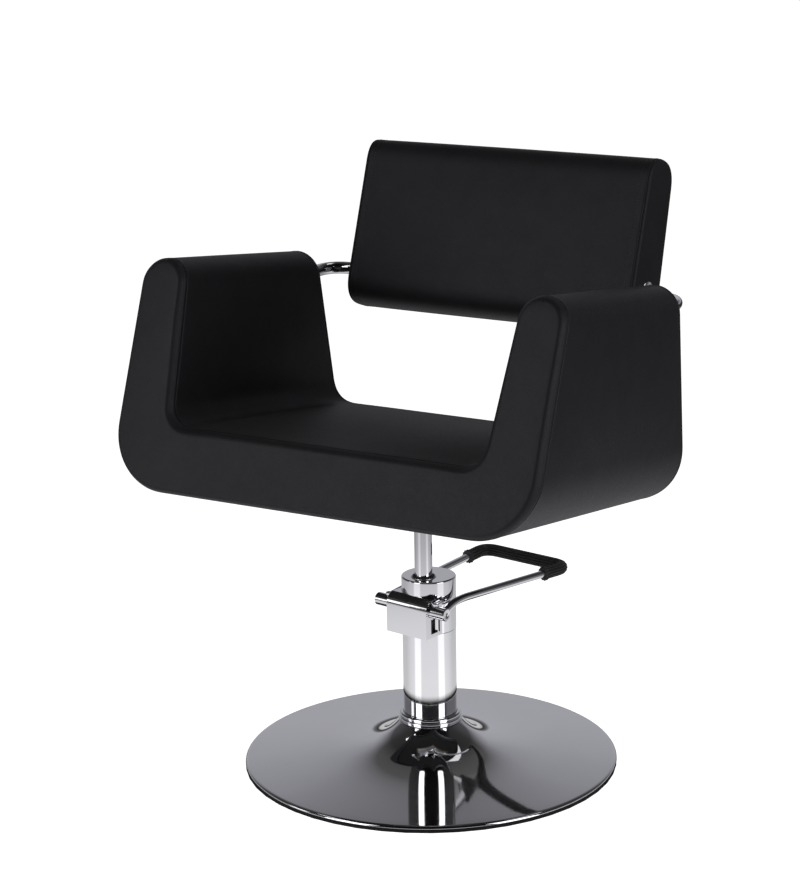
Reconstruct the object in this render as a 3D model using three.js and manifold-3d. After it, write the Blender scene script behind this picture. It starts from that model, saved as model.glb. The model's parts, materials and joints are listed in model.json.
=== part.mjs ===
// Styling chair on a hydraulic pump and a round disc base.
// Millimetres, +Z up, the chair faces -Y. The origin is on the floor on the column's axis.
import * as THREE from "three";
import { mergeVertices } from "three/addons/utils/BufferGeometryUtils.js";
import Module from "manifold-3d";

const wasm = await Module();
wasm.setup();

// ---------- driving dimensions ----------
const GAP = 0.3; // clearance between pieces that touch
const FIT = 0.35; // radial clearance of a sliding or turning fit

// disc base
const DISC_RADIUS = 290;
const DISC_RISE = 24; // slow rise of the disc from rim to centre
const BELL_HEIGHT = 39; // extra rise of the flare at the collar
const BELL_SPREAD = 28; // how fast the flare dies away from the collar
const RIM_HEIGHT = 9.5;
const SHEET = 3; // pressed sheet of the disc
const PAD_HEIGHT = 4; // rubber under the base
const PAD_RADIUS = 60;
const PLATE_RADIUS = 200;
const PLATE_HEIGHT = 8;
const EDGE_WIDTH = 9;

// column and pump
const SLEEVE_RADIUS = 42;
const SLEEVE_WALL = 2.7;
const TUBE_RADIUS = SLEEVE_RADIUS - 0.5;
const TUBE_WALL = 3;
const SLEEVE_BOTTOM = 218.5;
const CAP_TOP = 302;
const CAP_PLATE = 3.5;
const COLLAR_RADIUS = TUBE_RADIUS + 7.5;
const COLLAR_HEIGHT = 14;
const FOOT_RADIUS = TUBE_RADIUS + 34.5;
const FOOT_HEIGHT = 8;
const FOOT_BOLT_CIRCLE = TUBE_RADIUS + 20.5;
const FOOT_RING_WALL = 6;
const FOOT_RING_HEIGHT = 24;
const PUMP_TURN = THREE.MathUtils.degToRad(9.25); // the pump is turned this far under the seat

// lift rod
const ROD_RADIUS = 13.75;
const ROD_OFFSET = 12; // the rod stands this far forward of the column's axis
const ROD_TOP = 474;
const ROD_BOTTOM = 190;
const HEAD_LENGTH = 20;
const BORE_FLOOR = 40;

// pedal housing
const HOUSING_HALF = SLEEVE_RADIUS - 3.1;
const HOUSING_SHEET = 3;
const HOUSING_FLOOR = 6;
const HOUSING_ARC = 17;
const WINDOW_TOP = 248;

// pedal
const AXLE_RADIUS = 10;
const AXLE_FORWARD = SLEEVE_RADIUS - 1.5;
const AXLE_HEIGHT = 261.3;
const PEDAL_WIRE = 6; // radius of the pedal rod
const PEDAL_ROOT = HOUSING_HALF + 19.1; // half spread of the rod where it passes the axle
const AXLE_HALF = PEDAL_ROOT + 10;
const PEDAL_KNEE = [SLEEVE_RADIUS + 8.5, 5, 270.2]; // half spread, rearward, height
const PEDAL_TOE = [82.5, 248.8, 266.3];
const PEDAL_CORNER = 25;
const GRIP_RADIUS = 9.8;
const GRIP_LEG = 56;
const GRIP_LIP = 3;
const LEVER_SIDE = ROD_RADIUS + 8.25; // the lever and plunger sit this far to one side
const LEVER_REACH = 20.5;
const LEVER_WIDTH = 12;
const LEVER_HUB = AXLE_RADIUS + 1.3; // outer radius of the lever where it grips the axle
const HOUSING_FRONT = AXLE_FORWARD + LEVER_HUB + HOUSING_SHEET + 0.4;
const WINDOW_FRONT = AXLE_FORWARD + 2.5;
const WINDOW_BACK = AXLE_FORWARD - 18.5;
const PLUNGER_RADIUS = 6;
const PLUNGER_LENGTH = 92;
const PLUNGER_HEAD = 2.5; // thickness of the plunger's head
const SPRING_TURNS = 2.5;
const SPRING_WIRE = 0.9; // radius of the spring's wire
const SPRING_RADIUS = 7.4;

// seat shell, in its own frame: x across, y rearward, z up from its underside
const SEAT_TILT = THREE.MathUtils.degToRad(8);
const SHELL_BASE = 438; // height of the underside above the floor, over the column
const SHELL_HALF = 351;
const SHELL_CORNER = 93;
const ARM_HEIGHT = 334;
const SEAT_HALF = SHELL_HALF - 92.4;
const SEAT_SURFACE = 96;
const SEAT_CORNER = 37;
const ARM_LEAN = 0.081; // inner arm face leans outward by this per unit of height
const SHELL_FRONT = 344;
const FRONT_LEAN = 0.221;
const SHELL_REAR = 175;
const REAR_LEAN = 0.219;
const COVER_OUTER = 12; // padding outside the ribs
const COVER_INNER = 16;
const COVER_TOP = 16;
const COVER_SEAT = 45;
const FRONT_PAD = 22;
const REAR_PAD = 15;
const PAD_ROUND = 8;
const RIB = 18;
const BOARD = 18;
const UNDER_OPENING = SHELL_HALF - 101; // half width of the opening under the shell
const COVER_HOLE = 210;

// seat socket
const SOCKET_PLATE = 180;
const SOCKET_THICK = 6;
const HUB_RADIUS = 25;
const BOLT_SPACING = 130;

// back, in its own frame: x across, y rearward through the thickness, z up along the back
const BACK_RECLINE = THREE.MathUtils.degToRad(19.7);
const BACK_HALF = SEAT_HALF - 6.6;
const BACK_LENGTH = 268.5;
const BACK_THICK_BOTTOM = 102;
const BACK_THICK_TOP = 80;
const BACK_Y = 175;
const BACK_Z = 677;
const BACK_ROUND_BOTTOM = 44;
const BACK_ROUND_TOP = 37;
const END_PANEL = 14;
const BACK_BORDER = 30; // padding above and below the board
const BACK_COVER = 9;
const BACK_BOARD = 12;
const BACK_BOARD_DEPTH = 32; // front of the board, measured in from the rear face

// bent tubes between arms and back
const BAR_RADIUS = 10;
const BAR_SIDE = SHELL_HALF - 37;
const BAR_INNER = BACK_HALF - 52;
const BAR_REAR = 240;
const BAR_HEIGHT = 715;
const BAR_END = 96;
const BAR_BEND = 42;
const ROSETTE_RADIUS = 24;
const ROSETTE_THICK = 4;
const CLAMP_RADIUS = 15;
const CLAMP_FOOT = 26; // half height of the clamp's foot plate

// ---------- finishes ----------
const finish = (color, roughness, metalness) => ({ color, roughness, metalness });
const CHROME = finish(0xc9cacd, 0.08, 1);
const STEEL = finish(0x8c8e92, 0.4, 1);
const CAST = finish(0x3a3b3d, 0.6, 0.8);
const LEATHER = finish(0x2a2a2c, 0.5, 0);
const CLOTH = finish(0x1c1c1d, 0.9, 0);
const RUBBER = finish(0x1b1b1c, 0.75, 0);
const WOOD = finish(0xb08d5c, 0.7, 0);

// ---------- helpers ----------
const group = new THREE.Group();
group.name = "styling_chair";

function solid(source) {
  const plain = source.index ? source.toNonIndexed() : source.clone();
  const bare = new THREE.BufferGeometry();
  bare.setAttribute("position", plain.getAttribute("position").clone());
  const merged = mergeVertices(bare, 1e-3);
  const points = merged.getAttribute("position").array;
  const kept = [];
  let volume = 0;
  for (let i = 0; i < merged.index.count; i += 3) {
    const [a, b, c] = [0, 1, 2].map((k) => merged.index.getX(i + k));
    if (a === b || b === c || a === c) continue;
    kept.push(a, b, c);
    const [p, q, r] = [a, b, c].map((k) => new THREE.Vector3().fromArray(points, 3 * k));
    volume += p.dot(q.cross(r));
  }
  if (volume < 0) {
    for (let i = 0; i < kept.length; i += 3) {
      [kept[i + 1], kept[i + 2]] = [kept[i + 2], kept[i + 1]];
    }
  }
  return new wasm.Manifold(
    new wasm.Mesh({
      numProp: 3,
      vertProperties: new Float32Array(points),
      triVerts: new Uint32Array(kept),
    }),
  );
}

function geometryOf(body) {
  const made = body.getMesh();
  const geometry = new THREE.BufferGeometry();
  geometry.setAttribute("position", new THREE.BufferAttribute(made.vertProperties, 3));
  geometry.setIndex(new THREE.BufferAttribute(made.triVerts, 1));
  return geometry;
}

function piece(name, body, look) {
  const geometry = geometryOf(body);
  geometry.computeVertexNormals();
  const mesh = new THREE.Mesh(geometry, new THREE.MeshStandardMaterial(look));
  mesh.name = name;
  group.add(mesh);
}

// turned body around the upright axis, from [radius, height] points
function lathe(profile, sides = 40) {
  const points = profile.map(([r, z]) => new THREE.Vector2(r, z));
  const first = profile[0];
  const last = profile[profile.length - 1];
  if (first[0] > 0 || last[0] > 0) points.push(new THREE.Vector2(first[0], first[1]));
  const geometry = new THREE.LatheGeometry(points, sides);
  geometry.rotateX(Math.PI / 2);
  return geometry;
}

function ring(inner, outer, bottom, top, sides = 40) {
  return lathe([[inner, bottom], [outer, bottom], [outer, top], [inner, top]], sides);
}

function disc(radius, bottom, top, sides = 40) {
  return lathe([[0, bottom], [radius, bottom], [radius, top], [0, top]], sides);
}

function box(x0, x1, y0, y1, z0, z1) {
  const geometry = new THREE.BoxGeometry(x1 - x0, y1 - y0, z1 - z0);
  return geometry.translate((x0 + x1) / 2, (y0 + y1) / 2, (z0 + z1) / 2);
}

function rodBetween(radius, from, to, sides = 20) {
  const start = new THREE.Vector3(...from);
  const way = new THREE.Vector3(...to).sub(start);
  const geometry = new THREE.CylinderGeometry(radius, radius, way.length(), sides);
  const turn = new THREE.Quaternion();
  turn.setFromUnitVectors(new THREE.Vector3(0, 1, 0), way.clone().normalize());
  geometry.applyQuaternion(turn);
  const middle = start.add(way.multiplyScalar(0.5));
  return geometry.translate(middle.x, middle.y, middle.z);
}

// path through the points with its corners rounded
function roundedPath(points, radius) {
  const path = new THREE.CurvePath();
  let from = points[0];
  for (let i = 1; i < points.length - 1; i += 1) {
    const corner = points[i];
    const entry = points[i - 1].clone().sub(corner).setLength(radius).add(corner);
    const leave = points[i + 1].clone().sub(corner).setLength(radius).add(corner);
    path.add(new THREE.LineCurve3(from, entry));
    path.add(new THREE.QuadraticBezierCurve3(entry, corner, leave));
    from = leave;
  }
  path.add(new THREE.LineCurve3(from, points[points.length - 1]));
  return path;
}

function round(radius, sides) {
  const shape = new THREE.Shape();
  for (let i = 0; i < sides; i += 1) {
    const angle = (2 * Math.PI * i) / sides;
    const [x, y] = [radius * Math.cos(angle), radius * Math.sin(angle)];
    if (i === 0) shape.moveTo(x, y);
    else shape.lineTo(x, y);
  }
  shape.closePath();
  return shape;
}

function sweep(path, radius, steps, sides = 10, hollow = 0) {
  const shape = round(radius, sides);
  if (hollow > 0) shape.holes.push(round(hollow, sides));
  return new THREE.ExtrudeGeometry(shape, { steps, extrudePath: path, bevelEnabled: false });
}

// outline in x-z carried along y between two surfaces given by height
function between(shape, start, end, curveSegments = 5) {
  const options = { depth: 1, steps: 1, bevelEnabled: false, curveSegments };
  const geometry = new THREE.ExtrudeGeometry(shape, options);
  const spots = geometry.getAttribute("position");
  for (let i = 0; i < spots.count; i += 1) {
    const [x, z, along] = [spots.getX(i), spots.getY(i), spots.getZ(i)];
    spots.setXYZ(i, x, THREE.MathUtils.lerp(start(z), end(z), along), z);
  }
  return geometry;
}

function outline(points) {
  const shape = new THREE.Shape();
  shape.setFromPoints(points.map(([x, z]) => new THREE.Vector2(x, z)));
  return shape;
}

const placed = (body, matrix) => body.transform(matrix.elements);

// ---------- frames ----------
const pumpFrame = new THREE.Matrix4().makeRotationZ(-PUMP_TURN);
const seatFrame = new THREE.Matrix4().makeRotationX(-SEAT_TILT);
seatFrame.setPosition(0, 0, SHELL_BASE);
const backFrame = new THREE.Matrix4().makeRotationX(-BACK_RECLINE);
backFrame.setPosition(0, BACK_Y, BACK_Z);
const inPump = (geometry) => placed(solid(geometry), pumpFrame);
const rodSpot = new THREE.Vector3(0, -ROD_OFFSET, 0).applyMatrix4(pumpFrame);

function hexBolt(x, y, seatZ, headHeight, headRadius, shankRadius, tipZ) {
  const head = Math.sign(seatZ - tipZ) * headHeight;
  const shank = new THREE.CylinderGeometry(shankRadius, shankRadius, Math.abs(seatZ - tipZ) + 1, 12);
  shank.rotateX(Math.PI / 2);
  shank.translate(x, y, (seatZ + tipZ + Math.sign(head)) / 2);
  const cap = new THREE.CylinderGeometry(headRadius, headRadius, headHeight, 6);
  cap.rotateX(Math.PI / 2);
  cap.translate(x, y, seatZ + head / 2);
  return solid(shank).add(solid(cap));
}

// ---------- disc base ----------
function discHeight(radius) {
  const slow = DISC_RISE * (1 - radius / DISC_RADIUS);
  return RIM_HEIGHT + slow + BELL_HEIGHT * Math.exp((COLLAR_RADIUS - radius) / BELL_SPREAD);
}

const flareTop = discHeight(COLLAR_RADIUS);
const underDisc = PAD_HEIGHT + GAP;
const topSide = [[DISC_RADIUS, PAD_HEIGHT], [DISC_RADIUS, RIM_HEIGHT - 2.5], [DISC_RADIUS - 2, RIM_HEIGHT]];
const lowSide = [[DISC_RADIUS - SHEET, PAD_HEIGHT]];
const STATIONS = 10;
for (let i = 0; i < STATIONS; i += 1) {
  const share = i / (STATIONS - 1);
  const radius = THREE.MathUtils.lerp(DISC_RADIUS - 8, COLLAR_RADIUS + 1, Math.pow(share, 0.55));
  const slope = discHeight(radius - 0.5) - discHeight(radius + 0.5);
  const tilt = Math.atan(slope);
  topSide.push([radius, discHeight(radius)]);
  lowSide.push([radius - SHEET * Math.sin(tilt), discHeight(radius) - SHEET * Math.cos(tilt)]);
}
const discTop = topSide[topSide.length - 1][1];
topSide.push([TUBE_RADIUS + GAP, discTop]);
topSide.push([TUBE_RADIUS + GAP, discTop - SHEET]);
lowSide.pop();
const dome = [...topSide, ...lowSide.reverse()];
piece("base_dome", solid(lathe(dome, 48)), CHROME);

const plateTop = underDisc + PLATE_HEIGHT;
piece("edge_ring", solid(ring(DISC_RADIUS - EDGE_WIDTH, DISC_RADIUS, 0, PAD_HEIGHT - GAP, 48)), RUBBER);
piece("floor_pad", solid(disc(PAD_RADIUS, 0, PAD_HEIGHT, 40)), RUBBER);

const footBottom = plateTop + GAP;
const footTop = footBottom + FOOT_HEIGHT;
let basePlate = solid(disc(PLATE_RADIUS, underDisc, plateTop, 48));
const footRingInner = TUBE_RADIUS + GAP;
let pumpFoot = solid(disc(FOOT_RADIUS, footBottom, footTop));
const footRing = ring(footRingInner, footRingInner + FOOT_RING_WALL, footTop - 1, footTop + FOOT_RING_HEIGHT);
pumpFoot = pumpFoot.add(solid(footRing));
const footBolts = [];
for (let i = 0; i < 4; i += 1) {
  const angle = Math.PI / 4 + (i * Math.PI) / 2;
  const x = FOOT_BOLT_CIRCLE * Math.cos(angle);
  const y = FOOT_BOLT_CIRCLE * Math.sin(angle);
  footBolts.push(hexBolt(x, y, footTop + GAP, 5.5, 7.5, 4, underDisc + 1));
  const hole = rodBetween(4 + GAP, [x, y, underDisc - 5], [x, y, footTop + 5], 12);
  basePlate = basePlate.subtract(solid(hole));
  pumpFoot = pumpFoot.subtract(solid(hole));
}
piece("base_plate", basePlate, CAST);
piece("pump_foot", pumpFoot, STEEL);
footBolts.forEach((bolt, i) => piece(`foot_bolt_${i + 1}`, bolt, STEEL));

// ---------- column ----------
const collarBottom = discTop + GAP;
const collarMiddle = collarBottom + COLLAR_HEIGHT / 2;
const collarTop = collarBottom + COLLAR_HEIGHT;
const collarInner = TUBE_RADIUS + GAP;
const lowerRing = [
  [collarInner, collarBottom], [COLLAR_RADIUS - 0.6, collarBottom],
  [COLLAR_RADIUS, collarBottom + 1.5], [COLLAR_RADIUS, collarMiddle - 2],
  [COLLAR_RADIUS - 1, collarMiddle - GAP], [collarInner, collarMiddle - GAP],
];
piece("collar_lower", solid(lathe(lowerRing, 36)), CHROME);
const upperRing = [
  [collarInner, collarMiddle], [COLLAR_RADIUS - 1.2, collarMiddle],
  [COLLAR_RADIUS - 1.2, collarTop - 2.5], [COLLAR_RADIUS - 3.5, collarTop], [collarInner, collarTop],
];
piece("collar_upper", solid(lathe(upperRing, 36)), CHROME);

const tubeBottom = footTop + GAP;
const tubeTop = SLEEVE_BOTTOM - GAP;
const tube = ring(TUBE_RADIUS - TUBE_WALL, TUBE_RADIUS, tubeBottom, tubeTop, 40);
piece("pump_tube", solid(tube), CHROME);

// ---------- pump body, sleeve and housing, in the pump's own frame ----------
const rodAt = (bottom, top, radius, sides = 32) => disc(radius, bottom, top, sides).translate(0, -ROD_OFFSET, 0);
const bodyRadius = TUBE_RADIUS - TUBE_WALL - GAP;
const bodyTop = CAP_TOP - CAP_PLATE - GAP;
const boreRadius = ROD_RADIUS + FIT;
const flatFront = AXLE_FORWARD - AXLE_RADIUS - 1.2;
const housingInnerFloor = SLEEVE_BOTTOM + HOUSING_FLOOR;
const recessFloor = AXLE_HEIGHT - 22;
const plungerY = LEVER_REACH - AXLE_FORWARD;
const plungerTop = AXLE_HEIGHT - 9;
const plungerBottom = plungerTop - PLUNGER_LENGTH;
let pumpBody = solid(disc(bodyRadius, tubeBottom, bodyTop, 40));
pumpBody = pumpBody.subtract(solid(rodAt(BORE_FLOOR, bodyTop + 5, boreRadius)));
pumpBody = pumpBody.subtract(solid(box(-60, 60, -60, -flatFront, housingInnerFloor, bodyTop + 5)));
const leverHalf = SPRING_RADIUS + SPRING_WIRE + 1;
const leverBay = box(LEVER_SIDE - leverHalf, 60, -60, plungerY + 12, recessFloor, bodyTop + 5);
pumpBody = pumpBody.subtract(solid(leverBay));
const plungerBore = rodBetween(
  PLUNGER_RADIUS + FIT, [LEVER_SIDE, plungerY, plungerBottom - 14], [LEVER_SIDE, plungerY, recessFloor + 5], 20,
);
pumpBody = pumpBody.subtract(solid(plungerBore));
piece("pump_body", placed(pumpBody, pumpFrame), CAST);

const sleeveInner = SLEEVE_RADIUS - SLEEVE_WALL;
const sleeveProfile = [
  [sleeveInner, SLEEVE_BOTTOM], [SLEEVE_RADIUS, SLEEVE_BOTTOM], [SLEEVE_RADIUS, CAP_TOP - 2],
  [SLEEVE_RADIUS - 0.6, CAP_TOP - 0.6], [SLEEVE_RADIUS - 2, CAP_TOP], [0, CAP_TOP],
  [0, CAP_TOP - CAP_PLATE], [sleeveInner, CAP_TOP - CAP_PLATE], [sleeveInner, SLEEVE_BOTTOM],
];
const glandRadius = ROD_RADIUS + 5.2;
const hoodTop = AXLE_HEIGHT + 1 + HOUSING_ARC;
let sleeve = solid(lathe(sleeveProfile, 40));
sleeve = sleeve.subtract(solid(rodAt(CAP_TOP - 20, CAP_TOP + 20, glandRadius + GAP)));
const windowHalf = SLEEVE_RADIUS - 9;
const sleeveWindow = box(-windowHalf, windowHalf, -HOUSING_FRONT - 5, -15, housingInnerFloor, hoodTop - HOUSING_SHEET);
sleeve = sleeve.subtract(solid(sleeveWindow));
piece("pump_sleeve", placed(sleeve, pumpFrame), CHROME);

const glandTop = CAP_TOP + 1.2;
const gland = ring(boreRadius, glandRadius, bodyTop + GAP, glandTop, 32).translate(0, -ROD_OFFSET, 0);
piece("piston_gland", inPump(gland), STEEL);
const sealRing = [
  [boreRadius, glandTop + GAP], [glandRadius - 1.6, glandTop + GAP],
  [glandRadius - 2.2, glandTop + 1.6], [boreRadius + 0.8, glandTop + 2.2],
];
piece("piston_seal", inPump(lathe(sealRing, 32).translate(0, -ROD_OFFSET, 0)), RUBBER);

// side profile of the housing, in rearward and height
function housingSide(inset, floor, rear) {
  const shape = new THREE.Shape();
  const front = inset - HOUSING_FRONT;
  const arcY = HOUSING_ARC - HOUSING_FRONT;
  const arcZ = hoodTop - HOUSING_ARC;
  const top = hoodTop - inset;
  shape.moveTo(front, floor);
  shape.lineTo(front, arcZ);
  shape.absarc(arcY, arcZ, HOUSING_ARC - inset, Math.PI, Math.PI / 2, true);
  shape.lineTo(rear, top);
  shape.lineTo(rear, floor);
  shape.closePath();
  return shape;
}

function acrossPump(shape, half) {
  const options = { depth: 2 * half, bevelEnabled: false, curveSegments: 8 };
  const geometry = new THREE.ExtrudeGeometry(shape, options);
  const spots = geometry.getAttribute("position");
  for (let i = 0; i < spots.count; i += 1) {
    spots.setXYZ(i, spots.getZ(i) - half, spots.getX(i), spots.getY(i));
  }
  return geometry;
}

let housing = solid(acrossPump(housingSide(0, SLEEVE_BOTTOM, -10), HOUSING_HALF));
const housingInner = acrossPump(housingSide(HOUSING_SHEET, housingInnerFloor, 0), HOUSING_HALF - HOUSING_SHEET);
housing = housing.subtract(solid(housingInner));
housing = housing.subtract(solid(disc(SLEEVE_RADIUS + GAP, 100, 400, 40)));
const windows = box(-80, 80, -WINDOW_FRONT, -WINDOW_BACK, housingInnerFloor, WINDOW_TOP);
housing = housing.subtract(solid(windows));
const axleLine = (half) => [[-half, -AXLE_FORWARD, AXLE_HEIGHT], [half, -AXLE_FORWARD, AXLE_HEIGHT]];
housing = housing.subtract(solid(rodBetween(AXLE_RADIUS + FIT, ...axleLine(80), 28)));
piece("pump_housing", placed(housing, pumpFrame), CHROME);

// ---------- pedal ----------
const pedalPoint = (side, [x, y, z]) => new THREE.Vector3(side * x, y, z);
const root = [PEDAL_ROOT, -AXLE_FORWARD, AXLE_HEIGHT];
const rootEnd = (side) => {
  const centre = pedalPoint(side, root);
  const knee = pedalPoint(side, PEDAL_KNEE);
  return centre.clone().sub(knee).setLength(AXLE_RADIUS - 3).add(centre);
};
const pedalPoints = [
  rootEnd(-1), pedalPoint(-1, PEDAL_KNEE), pedalPoint(-1, PEDAL_TOE),
  pedalPoint(1, PEDAL_TOE), pedalPoint(1, PEDAL_KNEE), rootEnd(1),
];
const screwSide = PEDAL_ROOT;
let axle = solid(rodBetween(AXLE_RADIUS, ...axleLine(AXLE_HALF), 28));
let lever = solid(rodBetween(
  LEVER_HUB, [LEVER_SIDE - LEVER_WIDTH / 2, -AXLE_FORWARD, AXLE_HEIGHT],
  [LEVER_SIDE + LEVER_WIDTH / 2, -AXLE_FORWARD, AXLE_HEIGHT], 24,
));
for (const side of [-1, 1]) {
  const start = rootEnd(side);
  const knee = pedalPoint(side, PEDAL_KNEE);
  const hole = rodBetween(PEDAL_WIRE + GAP, start.toArray(), knee.toArray(), 16);
  axle = axle.subtract(solid(hole));
  const endDrill = [side * (AXLE_HALF - 6), -AXLE_FORWARD, AXLE_HEIGHT];
  axle = axle.subtract(solid(rodBetween(2.6, endDrill, [side * 90, -AXLE_FORWARD, AXLE_HEIGHT], 12)));
}
const screwX = HOUSING_HALF + 7;
const screws = [];
for (const side of [-1, 1]) {
  const x = side * screwX;
  const hole = rodBetween(3 + GAP, [x, -AXLE_FORWARD, AXLE_HEIGHT + 1], [x, -AXLE_FORWARD, AXLE_HEIGHT + 30], 12);
  axle = axle.subtract(solid(hole));
  const seat = AXLE_HEIGHT + AXLE_RADIUS + GAP;
  const shank = rodBetween(3, [x, -AXLE_FORWARD, AXLE_HEIGHT + 2], [x, -AXLE_FORWARD, seat + 1], 12);
  const head = rodBetween(5, [x, -AXLE_FORWARD, seat], [x, -AXLE_FORWARD, seat + 4.5], 16);
  screws.push(solid(shank).add(solid(head)));
}
piece("pedal_axle", placed(axle, pumpFrame), CHROME);
piece("axle_screw_l", placed(screws[0], pumpFrame), CHROME);
piece("axle_screw_r", placed(screws[1], pumpFrame), CHROME);

const leverTip = rodBetween(
  4, [LEVER_SIDE - LEVER_WIDTH / 2, plungerY, plungerTop + 4 + GAP],
  [LEVER_SIDE + LEVER_WIDTH / 2, plungerY, plungerTop + 4 + GAP], 16,
);
const leverArm = box(
  LEVER_SIDE - LEVER_WIDTH / 2, LEVER_SIDE + LEVER_WIDTH / 2, -AXLE_FORWARD, plungerY,
  plungerTop + 1, plungerTop + 8 + GAP,
);
lever = lever.add(solid(leverArm)).add(solid(leverTip));
lever = lever.subtract(solid(rodBetween(AXLE_RADIUS + GAP, ...axleLine(80), 28)));
piece("pump_lever", placed(lever, pumpFrame), STEEL);

const onPlunger = (height) => [LEVER_SIDE, plungerY, height];
const headBottom = plungerTop - PLUNGER_HEAD;
const headRadius = SPRING_RADIUS + SPRING_WIRE;
const plungerStem = solid(rodBetween(PLUNGER_RADIUS, onPlunger(plungerBottom), onPlunger(plungerTop - 1)));
const plungerHead = solid(rodBetween(headRadius, onPlunger(headBottom), onPlunger(plungerTop)));
piece("pump_plunger", placed(plungerStem.add(plungerHead), pumpFrame), STEEL);

const springLow = recessFloor + GAP + SPRING_WIRE;
const springHigh = headBottom - GAP - SPRING_WIRE;
const coil = new THREE.CatmullRomCurve3(
  Array.from({ length: 12 * SPRING_TURNS + 1 }, (_, i) => {
    const angle = (2 * Math.PI * i) / 12;
    const height = THREE.MathUtils.lerp(springLow, springHigh, i / (12 * SPRING_TURNS));
    return new THREE.Vector3(
      LEVER_SIDE + SPRING_RADIUS * Math.cos(angle), plungerY + SPRING_RADIUS * Math.sin(angle), height,
    );
  }),
);
piece("plunger_spring", inPump(sweep(coil, SPRING_WIRE, 12 * SPRING_TURNS, 6)), STEEL);

const pedalPath = roundedPath(pedalPoints, PEDAL_CORNER);
piece("pedal_rod", inPump(sweep(pedalPath, PEDAL_WIRE, 46, 10)), CHROME);

const toe = (side) => pedalPoint(side, PEDAL_TOE);
const legEnd = (side) => pedalPoint(side, PEDAL_KNEE).sub(toe(side)).setLength(GRIP_LEG).add(toe(side));
const gripPath = roundedPath([legEnd(-1), toe(-1), toe(1), legEnd(1)], PEDAL_CORNER);
let grip = solid(sweep(gripPath, GRIP_RADIUS, 22, 12));
for (const side of [-1, 1]) {
  const lip = legEnd(side).sub(toe(side)).setLength(GRIP_LEG - 6).add(toe(side));
  grip = grip.add(solid(rodBetween(GRIP_RADIUS + GRIP_LIP, lip.toArray(), legEnd(side).toArray(), 16)));
}
grip = grip.subtract(solid(sweep(pedalPath, PEDAL_WIRE + GAP, 46, 10)));
piece("pedal_grip", placed(grip, pumpFrame), RUBBER);

// ---------- lift rod ----------
piece("piston_head", inPump(rodAt(ROD_BOTTOM - GAP - HEAD_LENGTH, ROD_BOTTOM - GAP, ROD_RADIUS)), STEEL);
piece("piston_rod", inPump(rodAt(ROD_BOTTOM, ROD_TOP, ROD_RADIUS)), CHROME);

// ---------- seat shell ----------
const frontAt = (inset) => (z) => FRONT_LEAN * z - SHELL_FRONT + inset;
const rearAt = (inset) => (z) => SHELL_REAR - REAR_LEAN * z - inset;
const innerArm = (z) => SEAT_HALF + ARM_LEAN * (z - SEAT_SURFACE);

// U outline of the shell, drawn in by the given paddings
function shellOutline(outer, inner, top, seat, under) {
  const half = SHELL_HALF - outer;
  const corner = SHELL_CORNER - outer;
  const armTop = ARM_HEIGHT - top;
  const inside = (z) => innerArm(z) + inner;
  const roundTop = (half - inside(armTop)) / 2 - 0.5;
  const seatTop = SEAT_SURFACE - seat;
  const fillet = Math.max(SEAT_CORNER - seat, 8);
  const turnZ = armTop - roundTop;
  const middleX = (half + inside(turnZ)) / 2;
  const archRadius = (half - inside(turnZ)) / 2;
  const shape = new THREE.Shape();
  shape.moveTo(0, under);
  shape.lineTo(half - corner, under);
  shape.absarc(half - corner, under + corner, corner, -Math.PI / 2, 0, false);
  shape.lineTo(half, turnZ);
  shape.absarc(middleX, turnZ, archRadius, 0, Math.PI, false);
  shape.lineTo(inside(seatTop + fillet), seatTop + fillet);
  shape.quadraticCurveTo(inside(seatTop), seatTop, inside(seatTop) - fillet, seatTop);
  shape.lineTo(-inside(seatTop) + fillet, seatTop);
  shape.quadraticCurveTo(-inside(seatTop), seatTop, -inside(seatTop + fillet), seatTop + fillet);
  shape.lineTo(-inside(turnZ), turnZ);
  shape.absarc(-middleX, turnZ, archRadius, 0, Math.PI, false);
  shape.lineTo(-half, under + corner);
  shape.absarc(corner - half, under + corner, corner, Math.PI, 1.5 * Math.PI, false);
  shape.closePath();
  return shape;
}

const fullOutline = () => shellOutline(0, 0, 0, 0, 0);
const hollowOutline = (extra) => shellOutline(
  COVER_OUTER + extra, COVER_INNER + extra, COVER_TOP + extra, COVER_SEAT + extra, COVER_OUTER + extra,
);
const inSeat = (body) => placed(body, seatFrame);

// padded U panel with its outer edge rounded
function paddedPanel(shape, thickness, roundness, place) {
  const options = {
    depth: thickness, bevelEnabled: true, bevelThickness: roundness, bevelSize: roundness,
    bevelOffset: -roundness, bevelSegments: 3, curveSegments: 7,
  };
  const geometry = new THREE.ExtrudeGeometry(shape, options);
  const kept = solid(geometry).intersect(
    solid(box(-900, 900, -900, 900, -roundness - 1, thickness - roundness)),
  );
  const panel = geometryOf(kept);
  const spots = panel.getAttribute("position");
  for (let i = 0; i < spots.count; i += 1) {
    const [x, z, deep] = [spots.getX(i), spots.getY(i), spots.getZ(i) + roundness];
    spots.setXYZ(i, x, place(z, deep), z);
  }
  return solid(panel);
}

const rodWell = rodBetween(ROD_RADIUS + 8, [rodSpot.x, rodSpot.y, 300], [rodSpot.x, rodSpot.y, 600], 24);
const barLine = (side) => [
  new THREE.Vector3(side * BAR_INNER, BAR_REAR, BAR_HEIGHT),
  new THREE.Vector3(side * BAR_SIDE, BAR_REAR, BAR_HEIGHT),
  new THREE.Vector3(side * BAR_SIDE, BAR_END, BAR_HEIGHT),
];
const barHole = (side, extra) => solid(rodBetween(
  BAR_RADIUS + extra, [side * BAR_SIDE, BAR_END - 4, BAR_HEIGHT], [side * BAR_SIDE, BAR_REAR, BAR_HEIGHT], 20,
));
const clearBars = (body, extra) => body.subtract(barHole(-1, extra)).subtract(barHole(1, extra));

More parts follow.
